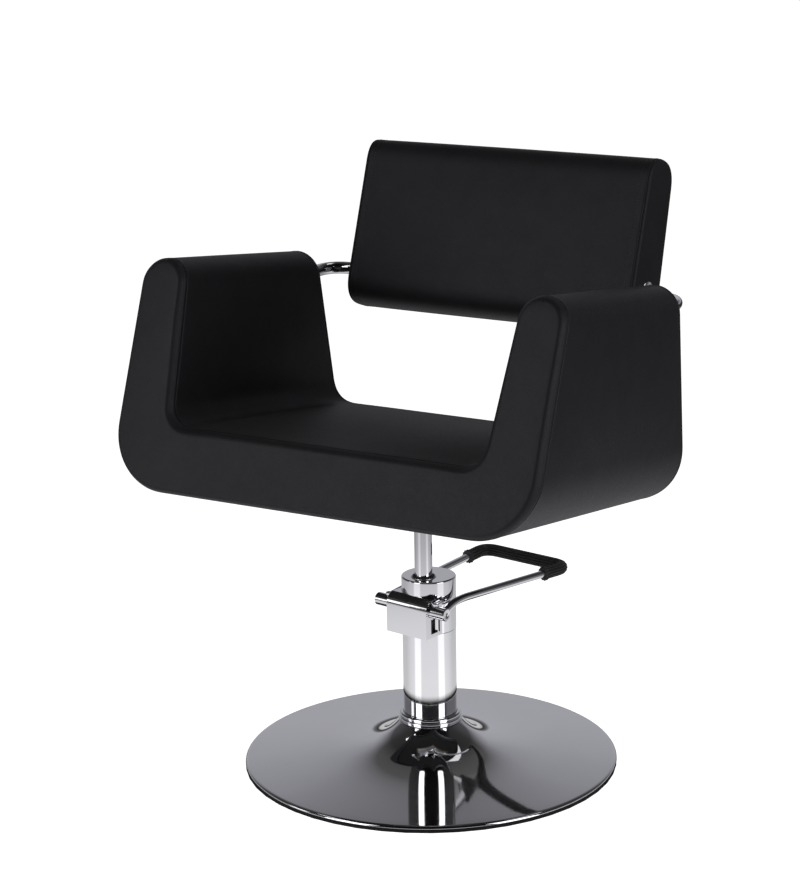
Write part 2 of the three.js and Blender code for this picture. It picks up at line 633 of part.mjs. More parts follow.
piece("seat_front_panel", inSeat(
  paddedPanel(fullOutline(), FRONT_PAD, PAD_ROUND, (z, deep) => frontAt(deep)(z)),
), LEATHER);
const rearPanel = inSeat(
  paddedPanel(fullOutline(), REAR_PAD, PAD_ROUND - 2, (z, deep) => rearAt(deep)(z)),
);
piece("seat_rear_panel", clearBars(rearPanel, GAP), LEATHER);

const wrapStart = frontAt(FRONT_PAD + GAP);
const wrapEnd = rearAt(REAR_PAD + GAP);
let wrap = solid(between(fullOutline(), wrapStart, wrapEnd, 7));
wrap = wrap.subtract(solid(between(hollowOutline(0), frontAt(-50), rearAt(-50), 6)));
wrap = wrap.subtract(solid(box(-UNDER_OPENING, UNDER_OPENING, -500, 500, -20, COVER_OUTER + 4)));
wrap = inSeat(wrap);
piece("seat_wrap", wrap, LEATHER);

const ribFrontStart = frontAt(FRONT_PAD + 2 * GAP);
const ribFrontEnd = frontAt(FRONT_PAD + 2 * GAP + RIB);
const ribRearStart = rearAt(REAR_PAD + 2 * GAP + RIB);
const ribRearEnd = rearAt(REAR_PAD + 2 * GAP);
piece("frame_rib_front", inSeat(solid(between(hollowOutline(GAP), ribFrontStart, ribFrontEnd, 6))), WOOD);
const ribRear = inSeat(solid(between(hollowOutline(GAP), ribRearStart, ribRearEnd, 6)));
piece("frame_rib_rear", clearBars(ribRear, GAP), WOOD);

const boardStart = frontAt(FRONT_PAD + 3 * GAP + RIB);
const boardEnd = rearAt(REAR_PAD + 3 * GAP + RIB);
const plateLevel = COVER_OUTER + 2 * GAP;
const boardLevel = plateLevel + SOCKET_THICK + GAP;
const boardHalf = SEAT_HALF + 8;
const boardShape = outline([
  [-boardHalf, boardLevel], [boardHalf, boardLevel],
  [boardHalf, boardLevel + BOARD], [-boardHalf, boardLevel + BOARD],
]);
let seatBoard = solid(between(boardShape, boardStart, boardEnd));
let socket = solid(box(
  rodSpot.x - SOCKET_PLATE / 2, rodSpot.x + SOCKET_PLATE / 2,
  rodSpot.y - SOCKET_PLATE / 2, rodSpot.y + SOCKET_PLATE / 2, plateLevel, plateLevel + SOCKET_THICK,
));
const socketBolts = [];
for (const sx of [-1, 1]) {
  for (const sy of [-1, 1]) {
    const x = rodSpot.x + (sx * BOLT_SPACING) / 2;
    const y = rodSpot.y + (sy * BOLT_SPACING) / 2;
    const hole = solid(rodBetween(4 + GAP, [x, y, -20], [x, y, 80], 12));
    socket = socket.subtract(hole);
    seatBoard = seatBoard.subtract(hole);
    socketBolts.push(hexBolt(x, y, plateLevel - GAP, 5.5, 7.5, 4, boardLevel + BOARD - 2));
  }
}
const hubTop = SHELL_BASE + SEAT_SURFACE - COVER_SEAT - 4;
const hub = rodBetween(HUB_RADIUS, [rodSpot.x, rodSpot.y, SHELL_BASE + plateLevel], [rodSpot.x, rodSpot.y, hubTop], 28);
const hubWell = rodBetween(HUB_RADIUS + 5, [rodSpot.x, rodSpot.y, 300], [rodSpot.x, rodSpot.y, 700], 28);
const socketBore = rodBetween(
  ROD_RADIUS + GAP, [rodSpot.x, rodSpot.y, 300], [rodSpot.x, rodSpot.y, ROD_TOP + GAP], 28,
);
piece("seat_socket", inSeat(socket).add(solid(hub)).subtract(solid(socketBore)), STEEL);
socketBolts.forEach((bolt, i) => piece(`socket_bolt_${i + 1}`, inSeat(bolt), STEEL));
piece("seat_board", inSeat(seatBoard).subtract(solid(hubWell)), WOOD);

const dustShape = outline([
  [-UNDER_OPENING + GAP, 8], [UNDER_OPENING - GAP, 8],
  [UNDER_OPENING - GAP, COVER_OUTER - GAP], [-UNDER_OPENING + GAP, COVER_OUTER - GAP],
]);
const dustHole = box(
  rodSpot.x - COVER_HOLE / 2, rodSpot.x + COVER_HOLE / 2,
  rodSpot.y - COVER_HOLE / 2, rodSpot.y + COVER_HOLE / 2, -40, 60,
);
const dust = solid(between(dustShape, wrapStart, wrapEnd)).subtract(solid(dustHole));
piece("dust_cover", inSeat(dust), CLOTH);

const armBoardX = SHELL_HALF - COVER_OUTER - 2 * GAP;
for (const [side, label] of [[-1, "l"], [1, "r"]]) {
  const faces = [side * (armBoardX - BOARD), side * armBoardX].sort((a, b) => a - b);
  const low = SHELL_CORNER + 4;
  const high = ARM_HEIGHT - COVER_TOP - 30;
  const shape = outline([[faces[0], low], [faces[1], low], [faces[1], high], [faces[0], high]]);
  const board = inSeat(solid(between(shape, boardStart, boardEnd)));
  piece(`arm_board_${label}`, board.subtract(barHole(side, 2)), WOOD);
}

// ---------- back ----------
const backDepth = (z) => THREE.MathUtils.lerp(BACK_THICK_BOTTOM, BACK_THICK_TOP, z / BACK_LENGTH);

function backOutline() {
  const shape = new THREE.Shape();
  const low = BACK_ROUND_BOTTOM;
  const high = BACK_ROUND_TOP;
  shape.moveTo(low, 0);
  shape.lineTo(BACK_THICK_BOTTOM - low, 0);
  shape.quadraticCurveTo(BACK_THICK_BOTTOM, 0, backDepth(low), low);
  shape.lineTo(backDepth(BACK_LENGTH - high), BACK_LENGTH - high);
  shape.quadraticCurveTo(BACK_THICK_TOP, BACK_LENGTH, BACK_THICK_TOP - high, BACK_LENGTH);
  shape.lineTo(high, BACK_LENGTH);
  shape.quadraticCurveTo(0, BACK_LENGTH, 0, BACK_LENGTH - high);
  shape.lineTo(0, low);
  shape.quadraticCurveTo(0, 0, low, 0);
  shape.closePath();
  return shape;
}

function acrossBack(shape, from, to) {
  const options = { depth: to - from, bevelEnabled: false, curveSegments: 7 };
  const geometry = new THREE.ExtrudeGeometry(shape, options);
  const spots = geometry.getAttribute("position");
  for (let i = 0; i < spots.count; i += 1) {
    spots.setXYZ(i, spots.getZ(i) + from, spots.getX(i), spots.getY(i));
  }
  return geometry;
}

const inBack = (body) => placed(body, backFrame);
const padHalf = BACK_HALF - END_PANEL - GAP;
const pocketLow = BACK_BORDER;
const pocketHigh = BACK_LENGTH - BACK_BORDER;

// slab that follows the rear face of the back, from deep to shallow
function rearSlab(deep, shallow, inset, half) {
  const low = pocketLow + inset;
  const high = pocketHigh - inset;
  const shape = outline([
    [backDepth(low) - deep, low], [backDepth(low) - shallow, low],
    [backDepth(high) - shallow, high], [backDepth(high) - deep, high],
  ]);
  return solid(acrossBack(shape, -half, half));
}

const barHoles = [-1, 1].map((side) => solid(rodBetween(
  BAR_RADIUS + GAP, [side * BAR_INNER * 0.97, BAR_REAR, BAR_HEIGHT], [side * (BACK_HALF + 48), BAR_REAR, BAR_HEIGHT], 20,
)));
const clampWell = (side) => solid(rodBetween(
  CLAMP_RADIUS + 4, [side * (BAR_INNER - 12), BAR_REAR, BAR_HEIGHT], [side * (BACK_HALF + 48), BAR_REAR, BAR_HEIGHT], 20,
));
let backPad = solid(acrossBack(backOutline(), -padHalf, padHalf));
backPad = backPad.subtract(rearSlab(BACK_BOARD_DEPTH + 13, -60, 0, 400));
backPad = inBack(backPad).subtract(clampWell(-1)).subtract(clampWell(1));
piece("back_pad", backPad, LEATHER);

let backBoard = rearSlab(BACK_BOARD_DEPTH, BACK_BOARD_DEPTH - BACK_BOARD, GAP, padHalf);
const backRear = rearSlab(BACK_COVER, 0, GAP, padHalf);
piece("back_rear_cover", inBack(backRear), LEATHER);

// the frame's spot for the bar, seen in the back's own frame
const intoBack = backFrame.clone().invert();
const barSpot = new THREE.Vector3(0, BAR_REAR, BAR_HEIGHT).applyMatrix4(intoBack);
const clampBack = backDepth(barSpot.z) - BACK_BOARD_DEPTH - GAP;
const clampEnd = padHalf - 2;
const clampStart = BAR_INNER - 8;
const clampBolts = [];
for (const [side, label] of [[-1, "l"], [1, "r"]]) {
  const spans = [side * clampStart, side * clampEnd].sort((a, b) => a - b);
  let clamp = solid(box(spans[0], spans[1], clampBack - 5, clampBack + 3, barSpot.z - CLAMP_FOOT, barSpot.z + CLAMP_FOOT));
  const shell = rodBetween(
    CLAMP_RADIUS, [spans[0], barSpot.y, barSpot.z], [spans[1], barSpot.y, barSpot.z], 20,
  );
  clamp = clamp.add(solid(shell));
  const web = box(spans[0], spans[1], barSpot.y, clampBack - 1, barSpot.z - 8, barSpot.z + 8);
  clamp = clamp.add(solid(web));
  clamp = clamp.subtract(rearSlab(BACK_BOARD_DEPTH + GAP, -60, 0, 400));
  const middle = (spans[0] + spans[1]) / 2;
  for (const level of [-1, 1]) {
    const z = barSpot.z + level * (CLAMP_FOOT - 6);
    const from = [middle, clampBack - 20, z];
    const to = [middle, clampBack + 40, z];
    const hole = solid(rodBetween(2.5 + GAP, from, to, 10));
    clamp = clamp.subtract(hole);
    backBoard = backBoard.subtract(hole);
    const head = rodBetween(4.5, [middle, clampBack - 5 - GAP - 2.5, z], [middle, clampBack - 5 - GAP, z], 6);
    const shank = rodBetween(2.5, [middle, clampBack - 6 - GAP, z], [middle, clampBack + BACK_BOARD, z], 10);
    clampBolts.push([`clamp_bolt_${label}${level < 0 ? 1 : 2}`, solid(head).add(solid(shank))]);
  }
  clamp = inBack(clamp).subtract(barHoles[side < 0 ? 0 : 1]);
  piece(`back_clamp_${label}`, clamp, STEEL);
}
piece("back_board", inBack(backBoard), WOOD);
clampBolts.forEach(([name, bolt]) => piece(name, inBack(bolt), STEEL));

for (const [side, label] of [[-1, "l"], [1, "r"]]) {
  const spans = [side * (BACK_HALF - END_PANEL), side * BACK_HALF].sort((a, b) => a - b);
  const panel = inBack(solid(acrossBack(backOutline(), spans[0], spans[1])));
  piece(`back_end_${label}`, panel.subtract(barHoles[side < 0 ? 0 : 1]), LEATHER);
  const bar = sweep(roundedPath(barLine(side), BAR_BEND), BAR_RADIUS, 18, 14);
  piece(`back_bar_${label}`, solid(bar), CHROME);
  const face = side * (BACK_HALF + GAP);
  let rosette = solid(rodBetween(
    ROSETTE_RADIUS, [face, BAR_REAR, BAR_HEIGHT], [face + side * ROSETTE_THICK, BAR_REAR, BAR_HEIGHT], 28,
  ));
  rosette = rosette.subtract(barHoles[side < 0 ? 0 : 1]);
  piece(`bar_rosette_${label}`, rosette, CHROME);
}

export default group;
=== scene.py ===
"""Styling chair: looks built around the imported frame. Lengths below are millimetres until a mesh is made."""

import itertools
import json
import math

import bmesh
import bpy
import numpy as np
from mathutils import Matrix, Vector


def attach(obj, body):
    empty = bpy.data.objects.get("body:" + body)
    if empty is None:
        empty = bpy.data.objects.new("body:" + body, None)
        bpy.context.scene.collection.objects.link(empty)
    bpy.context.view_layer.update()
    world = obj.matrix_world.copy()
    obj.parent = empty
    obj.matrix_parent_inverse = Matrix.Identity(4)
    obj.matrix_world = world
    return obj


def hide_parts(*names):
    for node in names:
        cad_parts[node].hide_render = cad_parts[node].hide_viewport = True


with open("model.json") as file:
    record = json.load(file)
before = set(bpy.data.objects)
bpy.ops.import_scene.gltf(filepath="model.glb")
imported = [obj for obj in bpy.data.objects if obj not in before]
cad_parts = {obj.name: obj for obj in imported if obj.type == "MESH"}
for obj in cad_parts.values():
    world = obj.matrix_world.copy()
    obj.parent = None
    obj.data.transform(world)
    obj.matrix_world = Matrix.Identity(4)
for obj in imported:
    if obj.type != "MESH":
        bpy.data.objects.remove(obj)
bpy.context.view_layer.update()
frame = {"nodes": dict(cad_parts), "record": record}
NODES = frame["nodes"]

# ---------- sizes shared with the CAD model ----------
PUMP_TURN = math.radians(9.25)
SEAT_TILT = math.radians(8)
SHELL_BASE = 438
SHELL_HALF = 351
SHELL_CORNER = 93
ARM_HEIGHT = 334
SEAT_HALF = 258.6
SEAT_SURFACE = 96
SEAT_CORNER = 37
ARM_LEAN = 0.081
SHELL_FRONT, FRONT_LEAN = 344, 0.221
SHELL_REAR, REAR_LEAN = 175, 0.219
UNDER_OPENING = 250
BACK_RECLINE = math.radians(19.7)
BACK_HALF = 252
BACK_LENGTH = 268.5
BACK_BOTTOM, BACK_TOP = 102, 80
BACK_Y, BACK_Z = 175, 677
ROUND_BOTTOM, ROUND_TOP = 44, 37
BACK_BORDER = 30
DISC_RADIUS, RIM_HEIGHT, DISC_RISE, BELL_HEIGHT, BELL_SPREAD = 290, 9.5, 24, 39, 28
TUBE_RADIUS, SLEEVE_RADIUS, COLLAR_RADIUS, COLLAR_BORE = 41.5, 42, 49, 41.8
TUBE_BORE, SLEEVE_BORE = 38.5, 39.3
SLEEVE_BOTTOM, CAP_TOP, CAP_ROUND, CAP_THICK = 218.5, 302, 2.2, 3.5
ROD_RADIUS, ROD_OFFSET = 13.75, 12
AXLE_RADIUS, AXLE_HALF, AXLE_FORWARD, AXLE_HEIGHT = 10, 68, 40.5, 261.3
PEDAL_WIRE = 6
PEDAL_ROOT = 58
PEDAL_KNEE = (50.5, 5, 270.2)
PEDAL_TOE = (82.5, 248.8, 266.3)
PEDAL_CORNER = 25
GRIP_RADIUS, GRIP_LEG = 9.8, 56
HOUSING_HALF, HOUSING_FRONT, HOUSING_SHEET, HOUSING_FLOOR, HOUSING_ARC = 38.9, 55.2, 3, 6, 17
BAR_RADIUS, BAR_SIDE, BAR_INNER, BAR_REAR = 10, 314, 200, 240
BAR_HEIGHT, BAR_END, BAR_BEND = 715, 96, 42
ROSETTE_RADIUS, ROSETTE_THICK, BAR_HOLE = 24, 4, 10.3
SIDES = ((-1, "l"), (1, "r"))

# ---------- sizes of the upholstery ----------
# how far each panel's rolled edge goes in over the face and back to its seam
FRONT_ROLL = (9, 12)
REAR_ROLL = (7, 9)
END_ROLL = (7, 5)
SEAM_SINK = 1.3  # depth of the groove the seam lies in
SEAM_WIDTH = 1.7
RIDGE = 0.45  # height of the soft ridge beside a seam
SKIN = 9  # foam and cover modelled under the visible face
GRID = 8  # spacing of the upholstery grids
WRAP_DEPTH = 440  # depth on which the wrap's rows are set out
CORNER_STEPS, ARCH_STEPS, KNEE_STEPS = 24, 16, 14
CREASE_NEAR, CREASE_FAR = 236, 266  # where the seat turns up into an arm
PAD_MIDDLE = (0, 45.0, 134.0)  # a point inside the back


# ---------- frames ----------
def spin(axis, angle):
    return np.array(Matrix.Rotation(angle, 3, axis))


def to_seat(points):
    moved = np.asarray(points, float) @ spin("X", -SEAT_TILT).T
    return moved + (0, 0, SHELL_BASE)


def to_back(points):
    return np.asarray(points, float) @ spin("X", -BACK_RECLINE).T + (0, BACK_Y, BACK_Z)


def to_pump(points):
    return np.asarray(points, float) @ spin("Z", -PUMP_TURN).T


# ---------- mesh helpers ----------
def make(name, points, faces, material, smooth=True, weld=0.0):
    mesh = bpy.data.meshes.new(name)
    flat = np.asarray(points, float).reshape(-1, 3) / 1000
    mesh.from_pydata(flat.tolist(), [], [list(map(int, f)) for f in faces])
    work = bmesh.new()
    work.from_mesh(mesh)
    if weld:
        bmesh.ops.remove_doubles(work, verts=work.verts, dist=weld / 1000)
    bmesh.ops.recalc_face_normals(work, faces=work.faces)
    work.to_mesh(mesh)
    work.free()
    piece = bpy.data.objects.new(name, mesh)
    bpy.context.scene.collection.objects.link(piece)
    mesh.materials.append(material)
    mesh.polygons.foreach_set("use_smooth", [smooth] * len(mesh.polygons))
    return piece


def grid_faces(rows, columns, start=0, wrap=False):
    faces = []
    last = rows if wrap else rows - 1
    for i in range(last):
        for j in range(columns - 1):
            a = start + i * columns + j
            b = start + ((i + 1) % rows) * columns + j
            faces.append((a, b, b + 1, a + 1))
    return faces


def grid_normals(points):
    along = np.gradient(points, axis=0)
    across = np.gradient(points, axis=1)
    normal = np.cross(along, across)
    length = np.linalg.norm(normal, axis=2, keepdims=True)
    return normal / np.maximum(length, 1e-9)


def slab(name, outer, inner, material, weld=0.05):
    """Closed solid between two grids of the same size."""
    rows, columns = outer.shape[:2]
    count = rows * columns
    faces = grid_faces(rows, columns) + grid_faces(rows, columns, count)
    rim = [(i, 0) for i in range(rows)] + [(rows - 1, j) for j in range(1, columns)]
    rim += [(i, columns - 1) for i in range(rows - 2, -1, -1)] + [(0, j) for j in range(columns - 2, 0, -1)]
    for (i, j), (k, m) in zip(rim, rim[1:] + rim[:1]):
        a, b = i * columns + j, k * columns + m
        faces.append((a, b, b + count, a + count))
    points = np.concatenate([outer.reshape(-1, 3), inner.reshape(-1, 3)])
    return make(name, points, faces, material, weld=weld)


def lathe(name, profile, material, sides=144, place=None, even=False):
    """Turned piece. The profile is (radius, height) pairs and closes on itself or on the axis."""
    closed = profile[0][0] > 0 or profile[-1][0] > 0
    angles = np.linspace(0, 2 * math.pi, sides, endpoint=False)
    points = np.array([[(r * math.cos(a), r * math.sin(a), z) for r, z in profile] for a in angles])
    columns = len(profile)
    faces = grid_faces(sides, columns, wrap=True)
    if closed:
        for i in range(sides):
            a, b = i * columns, ((i + 1) % sides) * columns
            faces.append((a + columns - 1, b + columns - 1, b, a))
    if place is not None:
        points = place(points)
    piece = make(name, points, faces, material, weld=0.001)
    crease_shading(piece)
    if even:
        even_shading(piece)
    return piece


def crease_shading(piece, angle=35):
    """Smooth shading with sharp edges kept where faces meet at a clear angle."""
    work = bmesh.new()
    work.from_mesh(piece.data)
    for edge in work.edges:
        edge.smooth = not (len(edge.link_faces) == 2 and edge.calc_face_angle(0) > math.radians(angle))
    work.to_mesh(piece.data)
    work.free()


def even_shading(piece):
    """Lets the large faces set the normals, so a small fillet doesn't shade the flat or round beside it."""
    even = piece.modifiers.new("even", "WEIGHTED_NORMAL")
    even.keep_sharp = True
    even.weight = 100


def fillet_profile(corners, radius, steps=5):
    """Closed (radius, height) profile with rounded corners, cut as a short arc at each."""
    out = []
    count = len(corners)
    for i, corner in enumerate(corners):
        corner = np.array(corner, float)
        before = np.array(corners[i - 1], float) - corner
        after = np.array(corners[(i + 1) % count], float) - corner
        size = min(radius, np.linalg.norm(before) * 0.45, np.linalg.norm(after) * 0.45)
        if corner[0] < 1e-6 or size < 1e-3:
            out.append(tuple(corner))
            continue
        start = corner + before / np.linalg.norm(before) * size
        stop = corner + after / np.linalg.norm(after) * size
        out += round_corner(start, corner, stop, steps)
    return out


def walked_lengths(curve):
    return np.concatenate([[0], np.cumsum(np.linalg.norm(np.diff(curve, axis=0), axis=1))])


def evenly(curve, number):
    """The given number of points, evenly spaced along a curve."""
    curve = np.asarray(curve, float)
    lengths = walked_lengths(curve)
    spots = np.linspace(0, lengths[-1], number)
    return np.stack([np.interp(spots, lengths, curve[:, k]) for k in range(curve.shape[1])], axis=1)


def resample(curve, step):
    length = walked_lengths(np.asarray(curve, float))[-1]
    return evenly(curve, max(2, int(round(length / step)) + 1))


def round_corner(start, corner, stop, number):
    """Points on a smooth arc from start to stop that leaves and arrives along the corner's sides."""
    start, corner, stop = (np.array(p, float) for p in (start, corner, stop))
    shares = np.linspace(0, 1, number)
    return [tuple((1 - t) ** 2 * start + 2 * t * (1 - t) * corner + t * t * stop) for t in shares]


def rounded_path(points, radius, step=3.0):
    """Straight runs joined by rounded corners, resampled evenly."""
    points = [np.array(p, float) for p in points]
    out = [points[0]]
    for before, corner, after in zip(points, points[1:], points[2:]):
        start = corner + (before - corner) / np.linalg.norm(before - corner) * radius
        stop = corner + (after - corner) / np.linalg.norm(after - corner) * radius
        out += round_corner(start, corner, stop, 17)
    out.append(points[-1])
    return resample(out, step)


def sweep(name, path, radius, material, sides=28, round_end=1.0):
    """Tube along a path. radius is a number or a function of (distance from start, length, angle)."""
    path = np.asarray(path, float)
    steps = np.linalg.norm(np.diff(path, axis=0), axis=1)
    reach = np.concatenate([[0], np.cumsum(steps)])
    tangents = np.gradient(path, axis=0)
    tangents /= np.linalg.norm(tangents, axis=1, keepdims=True)
    side = np.cross(tangents[0], (0, 0, 1.0))
    side /= np.linalg.norm(side)
    angles = np.linspace(0, 2 * math.pi, sides, endpoint=False)
    rings = []
    for spot, tangent, s in zip(path, tangents, reach):
        side = side - tangent * (side @ tangent)
        side /= np.linalg.norm(side)
        lift = np.cross(tangent, side)
        size = radius(s, reach[-1], angles) if callable(radius) else np.full(sides, float(radius))
        rings.append(spot + size[:, None] * (np.cos(angles)[:, None] * side + np.sin(angles)[:, None] * lift))
    first, last = [], []
    for t in np.linspace(0, 1, 4)[1:]:
        past = round_end * math.sin(t * math.pi / 2)
        first.append(path[0] + (rings[0] - path[0]) * (1 - t) - tangents[0] * past)
        last.append(path[-1] + (rings[-1] - path[-1]) * (1 - t) + tangents[-1] * past)
    rings = np.array(first[::-1] + rings + last)
    turned = np.transpose(rings, (1, 0, 2))
    return make(name, turned, grid_faces(sides, rings.shape[0], wrap=True), material, weld=0.001)


def carve(piece, cutters, bevel=0.0):
    """Cuts the given meshes out of a piece and rounds its edges."""
    for cutter in cutters:
        cut = piece.modifiers.new("cut", "BOOLEAN")
        cut.operation = "DIFFERENCE"
        cut.solver = "EXACT"
        cut.object = cutter
    if bevel:
        edge = piece.modifiers.new("edge", "BEVEL")
        edge.width = bevel / 1000
        edge.segments = 4
        edge.limit_method = "ANGLE"
        edge.angle_limit = math.radians(40)
    bpy.context.view_layer.update()
    done = bpy.data.meshes.new_from_object(piece.evaluated_get(bpy.context.evaluated_depsgraph_get()))
    piece.modifiers.clear()
    piece.data = done
    for cutter in cutters:
        bpy.data.objects.remove(cutter, do_unlink=True)
    crease_shading(piece)
    even_shading(piece)
    return piece


def block(name, low, high, material, place=None):
    corners = np.array([(x, y, z) for x, y, z in itertools.product(*zip(low, high))])
    faces = [(0, 1, 3, 2), (4, 6, 7, 5), (0, 4, 5, 1), (2, 3, 7, 6), (0, 2, 6, 4), (1, 5, 7, 3)]
    return make(name, place(corners) if place else corners, faces, material, smooth=False)


def prism(name, outline, low, high, material, place=None):
    """Outline of (y, z) points carried across x from low to high."""
    count = len(outline)
    points = np.array([(x, y, z) for x in (low, high) for y, z in outline])
    faces = [tuple(range(count)), tuple(range(2 * count - 1, count - 1, -1))]
    faces += [(i, (i + 1) % count, (i + 1) % count + count, i + count) for i in range(count)]
    return make(name, place(points) if place else points, faces, material, smooth=False)


def rod(name, radius, start, stop, material, sides=48, place=None):
    start, stop = np.array(start, float), np.array(stop, float)
    way = (stop - start) / np.linalg.norm(stop - start)
    side = np.cross(way, (0, 0, 1.0) if abs(way[2]) < 0.9 else (1.0, 0, 0))
    side /= np.linalg.norm(side)
    lift = np.cross(way, side)
    angles = np.linspace(0, 2 * math.pi, sides, endpoint=False)
    ring = np.cos(angles)[:, None] * side + np.sin(angles)[:, None] * lift
    points = np.concatenate([start + radius * ring, stop + radius * ring])
    faces = [tuple(range(sides)), tuple(range(2 * sides - 1, sides - 1, -1))]
    faces += [(i, (i + 1) % sides, (i + 1) % sides + sides, i + sides) for i in range(sides)]
    return make(name, place(points) if place else points, faces, material, smooth=True)


# ---------- materials ----------
def shader(name):
    material = bpy.data.materials.new(name)
    material.use_nodes = True
    tree = material.node_tree
    return material, tree, tree.nodes["Principled BSDF"]


def node(tree, kind, **inputs):
    made = tree.nodes.new(kind)
    for key, value in inputs.items():
        made.inputs[key.replace("_", " ")].default_value = value
    return made


def noise(tree, scale, detail=3.0, vector=None):
    made = node(tree, "ShaderNodeTexNoise", Scale=scale, Detail=detail)
    if vector is not None:
        tree.links.new(vector, made.inputs["Vector"])
    return made


def ramp(tree, source, stops):
    made = tree.nodes.new("ShaderNodeValToRGB")
    tree.links.new(source, made.inputs["Fac"])
    elements = made.color_ramp.elements
    while len(elements) < len(stops):
        elements.new(0.5)
    for element, (spot, colour) in zip(elements, stops):
        element.position = spot
        element.color = (*colour, 1) if len(colour) == 3 else colour
    return made


def grey(value):
    return (value, value, value)


def bumped(tree, base, height, strength, distance, before=None):
    bump = node(tree, "ShaderNodeBump", Strength=strength, Distance=distance)
    tree.links.new(height, bump.inputs["Height"])
    if before is not None:
        tree.links.new(before.outputs["Normal"], bump.inputs["Normal"])
    tree.links.new(bump.outputs["Normal"], base.inputs["Normal"])
    return bump


def leather(name="leatherette", tone=0.0078):
    material, tree, base = shader(name)
    where = tree.nodes.new("ShaderNodeTexCoord").outputs["Object"]
    cells = node(tree, "ShaderNodeTexVoronoi", Scale=760.0)
    cells.feature = "SMOOTH_F1"
    tree.links.new(where, cells.inputs["Vector"])
    pores = noise(tree, 420, 6, where)
    soft = noise(tree, 26, 3, where)
    shade = ramp(tree, soft.outputs["Fac"], [
        (0.3, (tone, tone, tone * 1.12)), (0.72, (tone * 1.4, tone * 1.4, tone * 1.56)),
    ])
    tree.links.new(shade.outputs["Color"], base.inputs["Base Color"])
    gloss = ramp(tree, pores.outputs["Fac"], [(0.3, grey(0.50)), (0.7, grey(0.62))])
    tree.links.new(gloss.outputs["Color"], base.inputs["Roughness"])
    first = bumped(tree, base, cells.outputs["Distance"], 0.14, 0.0003)
    second = bumped(tree, base, pores.outputs["Fac"], 0.08, 0.0004, first)
    bumped(tree, base, soft.outputs["Fac"], 0.10, 0.004, second)
    base.inputs["Specular IOR Level"].default_value = 0.32
    base.inputs["Specular Tint"].default_value = (0.94, 0.94, 1.0, 1)
    base.inputs["Sheen Weight"].default_value = 0.02
    base.inputs["Sheen Roughness"].default_value = 0.4
    return material


def metal(name, colour, rough, spread=0.03, grain=260.0, bump=0.004, stretch=(1, 1, 1)):
    material, tree, base = shader(name)
    where = tree.nodes.new("ShaderNodeTexCoord").outputs["Object"]
    mapping = tree.nodes.new("ShaderNodeMapping")
    mapping.inputs["Scale"].default_value = stretch
    tree.links.new(where, mapping.inputs["Vector"])
    fine = noise(tree, grain, 5, mapping.outputs["Vector"])
    wide = noise(tree, 9, 2, where)
    tint = ramp(tree, wide.outputs["Fac"], [(0.3, tuple(c * 0.96 for c in colour)), (0.7, colour)])
    tree.links.new(tint.outputs["Color"], base.inputs["Base Color"])
    low, high = max(rough - spread, 0.01), rough + spread
    gloss = ramp(tree, fine.outputs["Fac"], [(0.35, grey(low)), (0.7, grey(high))])
    tree.links.new(gloss.outputs["Color"], base.inputs["Roughness"])
    base.inputs["Metallic"].default_value = 1.0
    bumped(tree, base, fine.outputs["Fac"], bump, 0.0003)
    return material


def rubber(name, tone=0.012, rough=0.55):
    material, tree, base = shader(name)
    where = tree.nodes.new("ShaderNodeTexCoord").outputs["Object"]
    fine = noise(tree, 900, 4, where)
    wide = noise(tree, 60, 3, where)
    tint = ramp(tree, wide.outputs["Fac"], [(0.3, grey(tone)), (0.75, grey(tone * 1.9))])
    tree.links.new(tint.outputs["Color"], base.inputs["Base Color"])
    gloss = ramp(tree, fine.outputs["Fac"], [(0.3, grey(rough - 0.08)), (0.7, grey(rough + 0.1))])
    tree.links.new(gloss.outputs["Color"], base.inputs["Roughness"])
    bumped(tree, base, fine.outputs["Fac"], 0.12, 0.0003)
    return material


def plywood(name="plywood"):
    material, tree, base = shader(name)
    where = tree.nodes.new("ShaderNodeTexCoord").outputs["Object"]
    mapping = tree.nodes.new("ShaderNodeMapping")
    mapping.inputs["Scale"].default_value = (3, 40, 60)
    tree.links.new(where, mapping.inputs["Vector"])
    grain = noise(tree, 7, 6, mapping.outputs["Vector"])
    tint = ramp(tree, grain.outputs["Fac"], [(0.3, (0.085, 0.055, 0.032)), (0.7, (0.17, 0.115, 0.065))])
    tree.links.new(tint.outputs["Color"], base.inputs["Base Color"])
    base.inputs["Roughness"].default_value = 0.65
    bumped(tree, base, grain.outputs["Fac"], 0.2, 0.0006)
    return material


def weave(name="dust_weave"):
    material, tree, base = shader(name)
    where = tree.nodes.new("ShaderNodeTexCoord").outputs["Object"]
    threads = []
    for turn in (0, math.pi / 2):
        mapping = tree.nodes.new("ShaderNodeMapping")
        mapping.inputs["Rotation"].default_value = (0, 0, turn)
        tree.links.new(where, mapping.inputs["Vector"])
        wave = node(tree, "ShaderNodeTexWave", Scale=260.0, Distortion=1.5)
        tree.links.new(mapping.outputs["Vector"], wave.inputs["Vector"])
        threads.append(wave)
    both = tree.nodes.new("ShaderNodeMath")
    both.operation = "MULTIPLY"
    tree.links.new(threads[0].outputs["Fac"], both.inputs[0])
    tree.links.new(threads[1].outputs["Fac"], both.inputs[1])
    tint = ramp(tree, both.outputs[0], [(0.2, grey(0.006)), (0.8, grey(0.03))])
    tree.links.new(tint.outputs["Color"], base.inputs["Base Color"])
    base.inputs["Roughness"].default_value = 0.95
    bumped(tree, base, both.outputs[0], 0.5, 0.0006)
    return material


